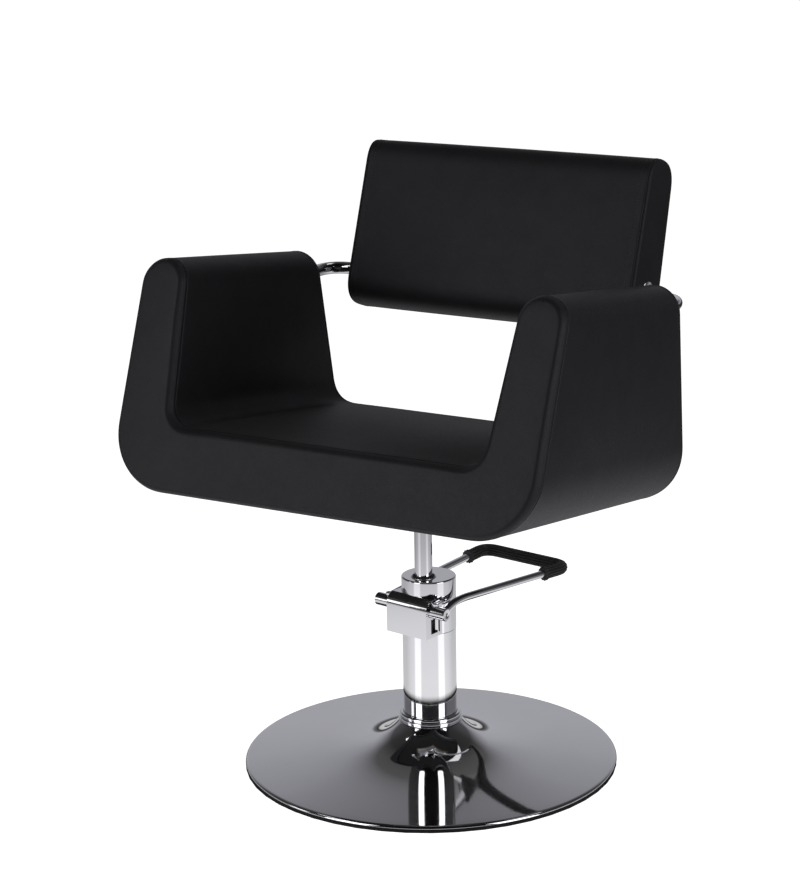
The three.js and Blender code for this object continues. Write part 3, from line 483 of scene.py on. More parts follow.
LEATHER = leather()
THREAD = rubber("thread", 0.02, 0.5)
CHROME = metal("chrome", (0.76, 0.76, 0.775), 0.045, 0.02, 300, 0.002)
DISC_CHROME = metal("disc_chrome", (0.70, 0.70, 0.715), 0.05, 0.02, 300, 0.002)
STEEL = metal("machined_steel", (0.45, 0.45, 0.46), 0.32, 0.08, 160, 0.05, (1, 1, 14))
IRON = metal("cast_iron", (0.07, 0.07, 0.075), 0.6, 0.12, 220, 0.35)
RUBBER = rubber("moulded_rubber")
PLYWOOD = plywood()
WEAVE = weave()
SLOT_LOOKS = {
    "chrome": CHROME, "steel": STEEL, "cast_iron": IRON, "leatherette": LEATHER,
    "rubber": RUBBER, "plywood": PLYWOOD, "underside_cloth": WEAVE,
}
for part in frame["record"]["subparts"]:
    mesh = NODES[part["node"]].data
    look = SLOT_LOOKS[part["material_slot"]]
    mesh.materials.clear()
    mesh.materials.append(look)


def dress(piece, body, slot, *nodes):
    """Puts a finished piece on its body, in place of the given CAD nodes."""
    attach(piece, body)
    if nodes:
        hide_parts(*nodes)
    return piece


# ---------- outline of the seat shell ----------
def inner_arm(z):
    return SEAT_HALF + ARM_LEAN * (z - SEAT_SURFACE)


def half_outline():
    """Right half of the U outline: outer curve up to the arm's top, then inner curve down to the seat."""
    round_top = (SHELL_HALF - inner_arm(ARM_HEIGHT)) / 2 - 0.5
    turn = ARM_HEIGHT - round_top
    middle = (SHELL_HALF + inner_arm(turn)) / 2
    arch = (SHELL_HALF - inner_arm(turn)) / 2
    corner = SHELL_HALF - SHELL_CORNER
    outer = [(corner, 0)]
    for a in np.linspace(0.05, math.pi / 2, CORNER_STEPS):
        outer.append((corner + SHELL_CORNER * math.sin(a), SHELL_CORNER * (1 - math.cos(a))))
    outer.append((SHELL_HALF, turn))

    def on_arch(first, last):
        angles = np.linspace(first, last, ARCH_STEPS)
        return [(middle + arch * math.cos(a), turn + arch * math.sin(a)) for a in angles]

    outer += on_arch(0.06, math.pi / 2)
    high, low = SEAT_SURFACE + SEAT_CORNER, SEAT_SURFACE
    knee = np.array((inner_arm(low), low))
    inner = on_arch(math.pi / 2, math.pi)
    inner += round_corner((inner_arm(high), high), knee, knee - (SEAT_CORNER, 0), KNEE_STEPS)
    return outer, inner


OUTER_HALF, INNER_HALF = half_outline()


def front_y(z):
    return FRONT_LEAN * z - SHELL_FRONT


def rear_y(z):
    return SHELL_REAR - REAR_LEAN * z


# ---------- cloth ----------
def relax(height, free, rounds):
    """Evens out a height field over a grid, keeping it down where it isn't free."""
    for _ in range(rounds):
        wide = np.pad(height, 1, mode="edge")
        around = (wide[:-2, 1:-1] + wide[2:, 1:-1] + wide[1:-1, :-2] + wide[1:-1, 2:]) / 4
        height = np.where(free > 0.5, 0.35 * height + 0.65 * around, around * free)
    return height


CLOTH_FRAMES = 20
EVEN_ROUNDS = 40


def puff(sheets):
    """Blows up each sheet under pressure, held at its pinned points.

    Only the smoothed outward swelling is kept, scaled to the sheet's crown."""
    scene = bpy.context.scene
    made = []
    for sheet in sheets:
        rows, columns = sheet["points"].shape[:2]
        piece = make("puff", sheet["points"], grid_faces(rows, columns), LEATHER)
        flip = np.sum(grid_normals(sheet["points"]) * sheet["out"])
        probe = piece.data.polygons[len(piece.data.polygons) // 2]
        wanted = np.sign(flip) * grid_normals(sheet["points"])[rows // 2, columns // 2]
        if np.dot(np.array(probe.normal), wanted) < 0:
            piece.data.flip_normals()
        group = piece.vertex_groups.new(name="pin")
        weights = sheet["pins"].reshape(-1)
        for level in np.unique(weights):
            group.add(np.flatnonzero(weights == level).tolist(), float(level), "REPLACE")
        cloth = piece.modifiers.new("Cloth", "CLOTH")
        settings = cloth.settings
        settings.vertex_group_mass = "pin"
        settings.quality = 5
        settings.mass = 0.35
        settings.tension_stiffness = 12
        settings.compression_stiffness = 12
        settings.shear_stiffness = 6
        settings.bending_stiffness = 1.2
        settings.use_pressure = True
        settings.uniform_pressure_force = sheet["pressure"]
        settings.effector_weights.gravity = 0
        cloth.point_cache.frame_start = 1
        cloth.point_cache.frame_end = CLOTH_FRAMES
        made.append(piece)
    for step in range(1, CLOTH_FRAMES + 1):
        scene.frame_set(step)
    graph = bpy.context.evaluated_depsgraph_get()
    blown = []
    for sheet, piece in zip(sheets, made):
        spots = np.empty(len(piece.data.vertices) * 3)
        piece.evaluated_get(graph).data.vertices.foreach_get("co", spots)
        moved = spots.reshape(sheet["points"].shape) * 1000 - sheet["points"]
        rise = np.clip(np.sum(moved * sheet["out"], axis=2), 0, None)
        rise = relax(rise, 1 - sheet["pins"], EVEN_ROUNDS)
        rise *= sheet["crown"] / max(np.percentile(rise, 98), 1e-6)
        blown.append(sheet["points"] + sheet["out"] * np.minimum(rise, sheet["crown"] * 1.2)[..., None])
    for piece in made:
        bpy.data.objects.remove(piece, do_unlink=True)
    scene.frame_set(1)
    return blown


STITCH_IN = 12.0  # a row of stitches runs this far inside the back's end seams
# distances from a seam at which the grids have a row
EDGE_ROWS = np.array([0, 0.7, 1.4, 2.2, 3.0, 4.0, 5.4, 8.0, 12.0])


def seam_dip(distance):
    """Inward offset of the surface near a seam: a sunk line beside a soft ridge."""
    distance = np.asarray(distance, float)
    sink = SEAM_SINK * np.clip(1 - distance / SEAM_WIDTH, 0, 1) ** 2
    ridge = RIDGE * np.exp(-(((distance - 3.0) / 1.4) ** 2))
    return sink - ridge


def spread(length, step=GRID):
    """Distances across a piece of the given length, close together at both ends."""
    inside = length - 2 * EDGE_ROWS[-1]
    count = max(2, int(round(inside / step)))
    middle = EDGE_ROWS[-1] + inside * np.arange(1, count) / count
    return np.concatenate([EDGE_ROWS, middle, length - EDGE_ROWS[::-1]])


def seat_wrap_sheet():
    right = [(UNDER_OPENING, 0)] + OUTER_HALF + INNER_HALF[1:]
    left = [(-x, z) for x, z in right[::-1]]
    line = resample(right + left, GRID)
    rows = spread(WRAP_DEPTH)
    edge = len(EDGE_ROWS)
    near, middle = rows[:edge], rows[edge:-edge]
    points = np.empty((len(line), len(rows), 3))
    for i, (x, z) in enumerate(line):
        start, stop = front_y(z) + FRONT_ROLL[1], rear_y(z) - REAR_ROLL[1]
        far = rows[-edge:] - WRAP_DEPTH + (stop - start)
        stretch = (far[0] - near[-1]) / (rows[-edge] - near[-1])
        depth = np.concatenate([near, near[-1] + (middle - near[-1]) * stretch, far])
        points[i] = np.stack([np.full(len(depth), x), start + depth, np.full(len(depth), z)], axis=1)
    return line, points


def outward(points, centre):
    """Grid normals turned to point away from the given middle point."""
    normals = grid_normals(points)
    side = np.sum(normals * (points - centre))
    return normals if side > 0 else -normals


line, wrap = seat_wrap_sheet()
wrap_out = grid_normals(wrap)
top_row = int(np.argmax(wrap[:, wrap.shape[1] // 2, 2]))
if wrap_out[top_row, wrap.shape[1] // 2, 2] < 0:
    wrap_out = -wrap_out


def held_edges(points, along=2, across=2):
    """Pin weights that hold a grid's outermost rows and columns."""
    held = np.zeros(points.shape[:2])
    held[:, :across] = held[:, -across:] = 1
    held[:along] = held[-along:] = 1
    return held


wrap_pins = held_edges(wrap)
x_abs = np.abs(line[:, 0])
crease = (line[:, 1] < SEAT_SURFACE + SEAT_CORNER * 0.8) & (line[:, 1] >= SEAT_SURFACE - 1)
wrap_pins[crease & (x_abs > CREASE_NEAR) & (x_abs < CREASE_FAR)] = 0.9


# ---------- flat panels with rolled edges ----------
def edge_normals(curve, inside):
    """Normals of a flat curve, all turned to the side the inside points lie on."""
    tangent = np.gradient(curve, axis=0)
    normal = np.stack([-tangent[:, 1], tangent[:, 0]], axis=1)
    normal /= np.linalg.norm(normal, axis=1, keepdims=True)
    return normal * np.sign(np.sum(normal * (inside - curve)))


ROLL_STEPS = (0, 3, 6, 9, 13, 18, 26, 36, 48, 60, 72, 82, 90)  # degrees round a rolled edge


def panel_grid(side_a, side_b, normal_a, normal_b, roll, across=8):
    """Rows run from edge a over the face to edge b. Gives flat positions and the depth below the face."""
    angles = np.array(ROLL_STEPS) * math.pi / 180
    inset = roll[0] * (1 - np.cos(angles))
    depth = roll[1] * (1 - np.sin(angles))
    walked = np.concatenate([[0], np.cumsum(np.hypot(np.diff(inset), np.diff(depth)))])
    inset = inset + seam_dip(walked)
    edge_a = side_a[:, None] + normal_a[:, None] * inset[None, :, None]
    edge_b = side_b[:, None] + normal_b[:, None] * inset[None, :, None]
    share = np.linspace(0, 1, across + 1)[1:-1]
    middle = edge_a[:, -1:, :] * (1 - share)[None, :, None] + edge_b[:, -1:, :] * share[None, :, None]
    flat = np.concatenate([edge_a, middle, edge_b[:, ::-1]], axis=1)
    fall = np.concatenate([depth, np.zeros(across - 1), depth[::-1]])
    return flat, np.broadcast_to(fall, flat.shape[:2]), len(angles)


def u_edges():
    """Outer and inner edge of the U face, from the right arm's top round to the left arm's top."""
    outer, inner = np.array(OUTER_HALF), np.array(INNER_HALF)
    arch_a, arch_b = outer[-ARCH_STEPS - 1:][::-1], inner[:ARCH_STEPS]
    count = max(len(resample(arch_a, 5)), len(resample(arch_b, 5)))
    floor_a, floor_b = np.array([outer[0], (0, 0)]), np.array([inner[-1], (0, SEAT_SURFACE)])
    stretches = [
        (arch_a, arch_b, count),
        (outer[CORNER_STEPS:CORNER_STEPS + 2][::-1], inner[ARCH_STEPS - 1:ARCH_STEPS + 1], 24),
        (outer[:CORNER_STEPS + 1][::-1], inner[ARCH_STEPS:], 20),
        (floor_a, floor_b, 30),
    ]
    side_a, side_b = [], []
    for first, second, number in stretches:
        side_a.append(evenly(first, number)[:-1])
        side_b.append(evenly(second, number)[:-1])
    side_a.append(np.array([(0, 0)]))
    side_b.append(np.array([(0, SEAT_SURFACE)]))
    right_a, right_b = np.concatenate(side_a), np.concatenate(side_b)
    flip = np.array((-1, 1))
    whole_a = np.concatenate([right_a, (right_a * flip)[-2::-1]])
    whole_b = np.concatenate([right_b, (right_b * flip)[-2::-1]])
    return whole_a, whole_b


side_a, side_b = u_edges()
middle_line = (side_a + side_b) / 2
normal_a = edge_normals(side_a, middle_line)
normal_b = edge_normals(side_b, middle_line)
for normals in (normal_a, normal_b):
    normals[0] = normals[-1] = (0, -1)
face_flat, face_fall, rim = panel_grid(side_a, side_b, normal_a, normal_b, FRONT_ROLL, 12)
rear_flat, rear_fall, rim = panel_grid(side_a, side_b, normal_a, normal_b, REAR_ROLL, 12)


def panel_points(flat, fall, surface, sign):
    """Lifts a flat grid on to the leaning front or rear of the shell."""
    x, z = flat[..., 0], flat[..., 1]
    return np.stack([x, surface(z) + sign * fall, z], axis=-1)


front = panel_points(face_flat, face_fall, front_y, 1)
rear = panel_points(rear_flat, rear_fall, rear_y, -1)
face_pins = held_edges(front, 3, rim - 4)

# ---------- outline of the back ----------


def back_depth(h):
    return BACK_BOTTOM + (BACK_TOP - BACK_BOTTOM) * h / BACK_LENGTH


def back_curves():
    """Front and rear half of the side outline, from the lowest middle point to the highest."""
    low, high = ROUND_BOTTOM, BACK_LENGTH - ROUND_TOP
    start, top = (BACK_BOTTOM / 2, 0), (BACK_TOP / 2, BACK_LENGTH)
    forward = round_corner((low, 0), (0, 0), (0, low), 12)
    forward += round_corner((0, high), (0, BACK_LENGTH), (ROUND_TOP, BACK_LENGTH), 12)
    behind = round_corner((BACK_BOTTOM - low, 0), (BACK_BOTTOM, 0), (back_depth(low), low), 12)
    behind += round_corner(
        (back_depth(high), high), (BACK_TOP, BACK_LENGTH), (BACK_TOP - ROUND_TOP, BACK_LENGTH), 12)
    return np.array([start] + forward + [top]), np.array([start] + behind + [top])


FORWARD, BEHIND = back_curves()


# pad: from the rear cover's lower edge, under, up the front, over the top, to its upper edge
pocket_low, pocket_high = BACK_BORDER, BACK_LENGTH - BACK_BORDER
under = BEHIND[BEHIND[:, 1] <= ROUND_BOTTOM + 1e-6]
under = under[under[:, 1] <= pocket_low][::-1]
over = BEHIND[BEHIND[:, 1] >= BACK_LENGTH - ROUND_TOP - 1e-6]
over = over[over[:, 1] >= pocket_high][::-1]
pad_start, pad_stop = [(back_depth(pocket_low), pocket_low)], [(back_depth(pocket_high), pocket_high)]
pad_line = np.concatenate([pad_start, under, FORWARD[1:-1], over, pad_stop])
pad_line = resample(pad_line, GRID)
pad_half = BACK_HALF - END_ROLL[1]
pad_across = spread(2 * pad_half) - pad_half
pad = np.stack([
    np.broadcast_to(pad_across[None, :], (len(pad_line), len(pad_across))),
    np.broadcast_to(pad_line[:, :1], (len(pad_line), len(pad_across))),
    np.broadcast_to(pad_line[:, 1:], (len(pad_line), len(pad_across))),
], axis=-1)
pad_out = outward(pad, np.array(PAD_MIDDLE))
pad_pins = held_edges(pad)

# end panels
end_a, end_b = evenly(FORWARD, 64), evenly(BEHIND, 64)
end_middle = (end_a + end_b) / 2
end_na, end_nb = edge_normals(end_a, end_middle), edge_normals(end_b, end_middle)
end_na[0] = end_nb[0] = (0, 1)
end_na[-1] = end_nb[-1] = (0, -1)
end_flat, end_fall, rim = panel_grid(end_a, end_b, end_na, end_nb, END_ROLL, 8)


def turned(vectors, move):
    """Directions through a frame change that also shifts points."""
    return move(vectors) - move(np.zeros(3))


front_in = turned(np.array((0, 1.0, 0)), to_seat)
wrap_normal, pad_normal = turned(wrap_out, to_seat), turned(pad_out, to_back)
SHEETS = (
    (to_seat(wrap), wrap_pins, wrap_normal, 2.5, 9),
    (to_back(pad), pad_pins, pad_normal, 2.5, 7),
    (to_seat(front), face_pins, np.broadcast_to(-front_in, front.shape), 2.0, 3),
    (to_seat(rear), face_pins, np.broadcast_to(front_in, rear.shape), 2.0, 3),
)
keys = ("points", "pins", "out", "pressure", "crown")
wrap_w, pad_w, front_w, rear_w = puff([dict(zip(keys, sheet)) for sheet in SHEETS])


def upholster(name, points, out, dips, nodes):
    """Closed padded piece: sinks the seams, gives it depth and smooths it."""
    face = points - out * dips[..., None]
    piece = slab(name, face, points - out * SKIN, LEATHER)
    smooth = piece.modifiers.new("smooth", "SUBSURF")
    smooth.levels = smooth.render_levels = 1
    dress(piece, "seat", "leatherette", *nodes)
    return piece


rows = spread(WRAP_DEPTH)
wrap_dips = np.broadcast_to(seam_dip(np.minimum(rows, WRAP_DEPTH - rows)), wrap.shape[:2])
upholster("seat_cover", wrap_w, wrap_normal, wrap_dips, ["seat_wrap"])

across = spread(2 * pad_half)
from_end = np.minimum(across, 2 * pad_half - across)
pad_dips = seam_dip(from_end) + 0.35 * np.exp(-(((from_end - STITCH_IN) / 1.4) ** 2))
pad_dips = np.broadcast_to(pad_dips, pad.shape[:2])
upholster("back_cushion", pad_w, pad_normal, pad_dips, ["back_pad"])


def face_panel(name, world, thick, move, nodes):
    """Panel whose edges are already rolled: its inner side is the same outline pushed in."""
    inner = world + np.asarray(move, float) * thick
    piece = slab(name, world, inner, LEATHER, weld=0.05)
    smooth = piece.modifiers.new("smooth", "SUBSURF")
    smooth.levels = smooth.render_levels = 1
    dress(piece, "seat", "leatherette", *nodes)
    return piece


face_panel("front_cushion", front_w, 7, front_in, ["seat_front_panel"])
face_panel("rear_cushion", rear_w, 7, -front_in, ["seat_rear_panel"])
for side, label in SIDES:
    x = side * (BACK_HALF - end_fall)
    points = to_back(np.stack([x, end_flat[..., 0], end_flat[..., 1]], axis=-1))
    face_panel(f"back_end_cap_{label}", points, 6, (-side, 0, 0), [f"back_end_{label}"])

# rear cover of the back
COVER_ROLL = 7.5
cover_half = pad_half - 8
cover_x = spread(2 * cover_half) - cover_half
cover_h = spread(pocket_high - pocket_low - 1) + pocket_low + 0.5
X, H = np.meshgrid(cover_x, cover_h, indexing="ij")
gap_x = cover_half - np.abs(X)
gap_h = np.minimum(H - cover_h[0], cover_h[-1] - H)
edge = np.minimum(gap_x, gap_h)
drop = COVER_ROLL * (1 - np.sqrt(np.clip(1 - np.clip(1 - edge / 9, 0, 1) ** 2, 0, 1))) * 0.6
crown = 3.0 * np.clip(gap_x / 60, 0, 1) * np.clip(gap_h / 60, 0, 1)
cover = to_back(np.stack([X, back_depth(H) - drop + crown, H], axis=-1))
cover_in = turned(np.array((0, -1.0, 0)), to_back)
face_panel("back_rear_pad", cover, 9, cover_in, ["back_rear_cover"])

# ---------- stitches ----------
STITCH, STITCH_GAP, THREAD_RADIUS = 3.4, 1.6, 0.38


def stitches(name, line, lift):
    """A row of short threads along a line of world points, each dipping into the cover at its ends."""
    line = resample(line, 1.0)
    points, faces = [], []
    span = int(STITCH)
    for start in range(2, len(line) - span - 2, int(STITCH + STITCH_GAP)):
        stops = line[start: start + span + 1]
        up = lift[min(int(start * len(lift) / len(line)), len(lift) - 1)]
        way = stops[-1] - stops[0]
        way /= np.linalg.norm(way)
        cross = np.cross(way, up)
        for k, stop in enumerate(stops):
            share = k / span
            centre = stop + up * (0.45 * math.sin(share * math.pi) - 0.15)
            size = THREAD_RADIUS * (0.45 + 0.55 * math.sin(share * math.pi))
            base = len(points)
            for m in range(6):
                angle = m * math.pi / 3
                points.append(centre + size * (math.cos(angle) * cross + math.sin(angle) * up))
            if k:
                for m in range(6):
                    after = (m + 1) % 6
                    faces.append((base - 6 + m, base - 6 + after, base + after, base + m))
            if k == 0:
                faces.append(tuple(base + m for m in range(5, -1, -1)))
            if k == len(stops) - 1:
                faces.append(tuple(base + m for m in range(6)))
    piece = make(name, points, faces, THREAD)
    return dress(piece, "seat", "leatherette")


for spot, label in ((STITCH_IN, "l"), (2 * pad_half - STITCH_IN, "r")):
    index = int(np.argmin(np.abs(across - spot)))
    seam = (pad_w - pad_normal * pad_dips[..., None])[:, index]
    stitches(f"back_stitch_{label}", seam, pad_normal[:, index])

# ---------- base ----------


def disc_height(radius):
    slow = DISC_RISE * (1 - radius / DISC_RADIUS)
    return RIM_HEIGHT + slow + BELL_HEIGHT * math.exp((COLLAR_RADIUS - radius) / BELL_SPREAD)


collar_z = disc_height(COLLAR_RADIUS + 1)
# the disc's lip from below, as distance in from its radius and height
LIP = ((3, 4.0), (0, 4.0), (0, 6.2), (0.4, 7.6), (1.4, 8.9), (3.2, 9.7))
top = [(DISC_RADIUS - inset, height) for inset, height in LIP]
stations = np.concatenate([
    np.linspace(DISC_RADIUS - 6, 130, 24), np.linspace(125, COLLAR_RADIUS + 1, 40),
])
top += [(r, disc_height(r) - 0.4 * math.exp((r - DISC_RADIUS) / 3)) for r in stations]
top += [(42, collar_z), (42, collar_z - 3)]
under_side = [(r - 1.4, disc_height(r) - 3) for r in stations[::-1][3:]]
dress(lathe("disc_base", top + under_side, DISC_CHROME, 192), "base", "chrome", "base_dome")

low = collar_z + 0.3
ring_low = [(COLLAR_BORE, low), (COLLAR_RADIUS, low), (COLLAR_RADIUS, low + 6.7), (COLLAR_BORE, low + 6.7)]
ring_low = lathe("collar_ring_low", fillet_profile(ring_low, 1.6), CHROME)
dress(ring_low, "base", "chrome", "collar_lower")
ring_high = [
    (COLLAR_BORE, low + 7), (COLLAR_RADIUS - 1.2, low + 7), (COLLAR_RADIUS - 1.2, low + 11.8),
    (COLLAR_RADIUS - 3.4, low + 14), (COLLAR_BORE, low + 14),
]
ring_high = lathe("collar_ring_high", fillet_profile(ring_high, 1.2), CHROME)
dress(ring_high, "base", "chrome", "collar_upper")
tube = [(TUBE_BORE, 21), (TUBE_RADIUS, 21), (TUBE_RADIUS, 218.2), (TUBE_BORE, 218.2)]
tube = lathe("column_tube", fillet_profile(tube, 0.5, 3), CHROME, even=True)
dress(tube, "base", "chrome", "pump_tube")
sleeve = [(SLEEVE_BORE, SLEEVE_BOTTOM), (41.7, SLEEVE_BOTTOM), (SLEEVE_RADIUS, SLEEVE_BOTTOM + 0.4)]
for a in np.linspace(0, math.pi / 2, 8):
    out, up = CAP_ROUND * math.cos(a), CAP_ROUND * math.sin(a)
    sleeve.append((SLEEVE_RADIUS - CAP_ROUND + out, CAP_TOP - CAP_ROUND + up))
sleeve += [(0, CAP_TOP), (0, CAP_TOP - CAP_THICK)]
sleeve += [(SLEEVE_BORE, CAP_TOP - CAP_THICK), (SLEEVE_BORE, SLEEVE_BOTTOM)]
cap = lathe("column_sleeve", sleeve, CHROME, 144, to_pump)
cap = carve(cap, [
    block("cut", (-33, -60, SLEEVE_BOTTOM + HOUSING_FLOOR), (33, -15, 276), CHROME, to_pump),
    rod("cut2", 19.2, (0, -ROD_OFFSET, 280), (0, -ROD_OFFSET, 330), CHROME, 64, to_pump),
])
dress(cap, "base", "chrome", "pump_sleeve")


def at_rod(points):
    return to_pump(np.asarray(points) + (0, -ROD_OFFSET, 0))


gland = fillet_profile([(14.1, 298.7), (18.9, 298.7), (18.9, 303.2), (14.1, 303.2)], 0.7)
dress(lathe("rod_gland", gland, STEEL, 72, at_rod), "base", "steel", "piston_gland")
seal = fillet_profile([(14.1, 303.5), (17.3, 303.5), (16.7, 304.8), (14.9, 305.4)], 0.5)
dress(lathe("rod_wiper", seal, RUBBER, 72, at_rod), "base", "rubber", "piston_seal")
piston = [
    (0, 190), (ROD_RADIUS - 0.8, 190), (ROD_RADIUS, 190.8),
    (ROD_RADIUS, 472.5), (ROD_RADIUS - 1.5, 474), (0, 474),
]
dress(lathe("lift_rod", piston, CHROME, 96, at_rod, True), "lift", "chrome", "piston_rod")


def housing_outline(inset, floor, rear):
    top = AXLE_HEIGHT + 1 + HOUSING_ARC
    arc_y, arc_z, size = HOUSING_ARC - HOUSING_FRONT, top - HOUSING_ARC, HOUSING_ARC - inset
    line = [(inset - HOUSING_FRONT, floor)]
    for a in np.linspace(math.pi, math.pi / 2, 28):
        line.append((arc_y + size * math.cos(a), arc_z + size * math.sin(a)))
    return line + [(rear, top - inset), (rear, floor)]


hood_side = housing_outline(0, SLEEVE_BOTTOM, -10)
hood = prism("pedal_housing", hood_side, -HOUSING_HALF, HOUSING_HALF, CHROME, to_pump)
hollow = housing_outline(HOUSING_SHEET, SLEEVE_BOTTOM + HOUSING_FLOOR, 5)
hollow_half = HOUSING_HALF - HOUSING_SHEET
axle_spot = (-AXLE_FORWARD, AXLE_HEIGHT)
hood = carve(hood, [
    prism("cut", hollow, -hollow_half, hollow_half, CHROME, to_pump),
    rod("cut2", SLEEVE_RADIUS + 0.3, (0, 0, 150), (0, 0, 350), CHROME, 96, to_pump),
    block("cut3", (-80, -43, SLEEVE_BOTTOM + HOUSING_FLOOR), (80, -22, 248), CHROME, to_pump),
    rod("cut4", AXLE_RADIUS + 0.35, (-80, *axle_spot), (80, *axle_spot), CHROME, 48, to_pump),
], bevel=1.6)
dress(hood, "base", "chrome", "pump_housing")

# ---------- pedal ----------


def pedal_point(side, spot):
    return np.array((side * spot[0], spot[1], spot[2]), float)


def root_end(side):
    centre = pedal_point(side, (PEDAL_ROOT, -AXLE_FORWARD, AXLE_HEIGHT))
    knee = pedal_point(side, PEDAL_KNEE)
    return centre + (centre - knee) / np.linalg.norm(centre - knee) * (AXLE_RADIUS - 3)


pedal_line = rounded_path([
    root_end(-1), pedal_point(-1, PEDAL_KNEE), pedal_point(-1, PEDAL_TOE),
    pedal_point(1, PEDAL_TOE), pedal_point(1, PEDAL_KNEE), root_end(1),
], PEDAL_CORNER, 4)
dress(sweep("pedal_wire", to_pump(pedal_line), PEDAL_WIRE, CHROME, 32), "pedal", "chrome", "pedal_rod")


def leg_end(side):
    toe, knee = pedal_point(side, PEDAL_TOE), pedal_point(side, PEDAL_KNEE)
    return toe + (knee - toe) / np.linalg.norm(knee - toe) * GRIP_LEG


RIBS, RIB_DEPTH = 14, 0.95


def grip_size(reach, length, angles):
    """Radius of the grip: lengthwise ribs between two flared ends."""
    near = min(reach, length - reach)
    lip = 2.3 * math.exp(-((near / 5.0) ** 2)) - 1.3 * math.exp(-((near / 0.9) ** 2))
    ribs = RIB_DEPTH * min(near / 2.0, 1.0)
    return GRIP_RADIUS - 0.9 + lip + ribs * np.clip(1.4 * np.cos(RIBS * angles), -1, 1)


grip_turns = [leg_end(-1), pedal_point(-1, PEDAL_TOE), pedal_point(1, PEDAL_TOE), leg_end(1)]
grip_line = to_pump(rounded_path(grip_turns, PEDAL_CORNER, 1.5))
dress(sweep("pedal_sleeve", grip_line, grip_size, RUBBER, 176, 0.5), "pedal", "rubber", "pedal_grip")

axle_profile = [(0, -AXLE_HALF + 6), (2.6, -AXLE_HALF + 6), (2.6, -AXLE_HALF + 0.5), (3.4, -AXLE_HALF)]
axle_profile += [(AXLE_RADIUS - 1.3, -AXLE_HALF), (AXLE_RADIUS, -AXLE_HALF + 1.3)]
axle_profile += [(r, -z) for r, z in axle_profile[::-1]]


def along_axle(points):
    points = np.asarray(points)
    moved = np.stack([points[..., 2], points[..., 0] - AXLE_FORWARD, points[..., 1] + AXLE_HEIGHT], axis=-1)
    return to_pump(moved)


dress(lathe("pedal_shaft", axle_profile, CHROME, 72, along_axle), "pedal", "chrome", "pedal_axle")
# a clamp screw from its thread to its socket, as radius and height over the axle
SCREW = (
    (0, -6), (2.9, -6), (2.9, 0.3), (4.6, 0.3), (5, 0.8),
    (5, 3.6), (4.2, 4.6), (2.6, 4.8), (2.3, 2.6), (0, 2.6),
)
for side, label in SIDES:
    x = side * (HOUSING_HALF + 7)

    def on_axle(points, x=x):
        return to_pump(np.asarray(points) + (x, -AXLE_FORWARD, 0))

    base = AXLE_HEIGHT + AXLE_RADIUS
    head = [(r, base + rise) for r, rise in SCREW]
    dress(lathe(f"clamp_screw_{label}", head, CHROME, 48, on_axle), "pedal", "chrome", f"axle_screw_{label}")

# ---------- back bars ----------
for side, label in SIDES:
    line3 = rounded_path([
        (side * BAR_INNER, BAR_REAR, BAR_HEIGHT), (side * BAR_SIDE, BAR_REAR, BAR_HEIGHT),
        (side * BAR_SIDE, BAR_END, BAR_HEIGHT),
    ], BAR_BEND, 3)
    dress(sweep(f"bent_bar_{label}", line3, BAR_RADIUS, CHROME, 48), "seat", "chrome", f"back_bar_{label}")
    face = BACK_HALF + 0.3

    def on_side(points, side=side, face=face):
        points = np.asarray(points)
        rear, up = points[..., 0] + BAR_REAR, points[..., 1] + BAR_HEIGHT
        return np.stack([side * (face + points[..., 2]), rear, up], axis=-1)

    rosette = fillet_profile([
        (BAR_HOLE, 0), (ROSETTE_RADIUS, 0), (ROSETTE_RADIUS - 1, 2.2),
        (ROSETTE_RADIUS - 5, ROSETTE_THICK), (BAR_HOLE, ROSETTE_THICK),
    ], 0.8)
    dress(lathe(f"rosette_{label}", rosette, CHROME, 72, on_side), "seat", "chrome", f"bar_rosette_{label}")

# ---------- shading of the CAD pieces that stay ----------
for part in NODES.values():
    part.data.polygons.foreach_set("use_smooth", [False] * len(part.data.polygons))

# ---------- stage ----------
IMAGE_HEIGHT = 893
FOCAL = 2534.06
AZIMUTH, DISTANCE, EYE = math.radians(29.96), 3709.4, 1507.4
YAW, PITCH, ROLL = math.radians(29.96 + 0.626), math.radians(15.10), math.radians(-0.96)
TOWARDS = (math.sin(AZIMUTH), -math.cos(AZIMUTH), 0)  # from the chair to the camera
FLOOR_GLOW = 3.6  # the lit part of the floor, in metres from the column
BOX_TURN = 50  # each softbox stands this many degrees round from the camera


def math_node(tree, operation, first, second=None):
    made = tree.nodes.new("ShaderNodeMath")
    made.operation = operation
    for socket, value in zip(made.inputs, (first, second)):
        if isinstance(value, (int, float)):
            socket.default_value = value
        elif value is not None:
            tree.links.new(value, socket)
    return made.outputs[0]


def turn_round(tree, vector):
    """Angle round the chair from the camera's side, 0 to 1 for 0 to 180 degrees either way."""
    flat = tree.nodes.new("ShaderNodeVectorMath")
    flat.operation = "MULTIPLY"
    flat.inputs[1].default_value = (1, 1, 0)
    tree.links.new(vector, flat.inputs[0])
    unit = tree.nodes.new("ShaderNodeVectorMath")
    unit.operation = "NORMALIZE"
    tree.links.new(flat.outputs[0], unit.inputs[0])
    dot = tree.nodes.new("ShaderNodeVectorMath")
    dot.operation = "DOT_PRODUCT"
    dot.inputs[1].default_value = TOWARDS
    tree.links.new(unit.outputs[0], dot.inputs[0])
    return math_node(tree, "DIVIDE", math_node(tree, "ARCCOSINE", dot.outputs["Value"]), math.pi)


def degrees_ramp(tree, source, stops):
    return ramp(tree, source, [(spot / 180, grey(value)) for spot, value in stops]).outputs["Color"]


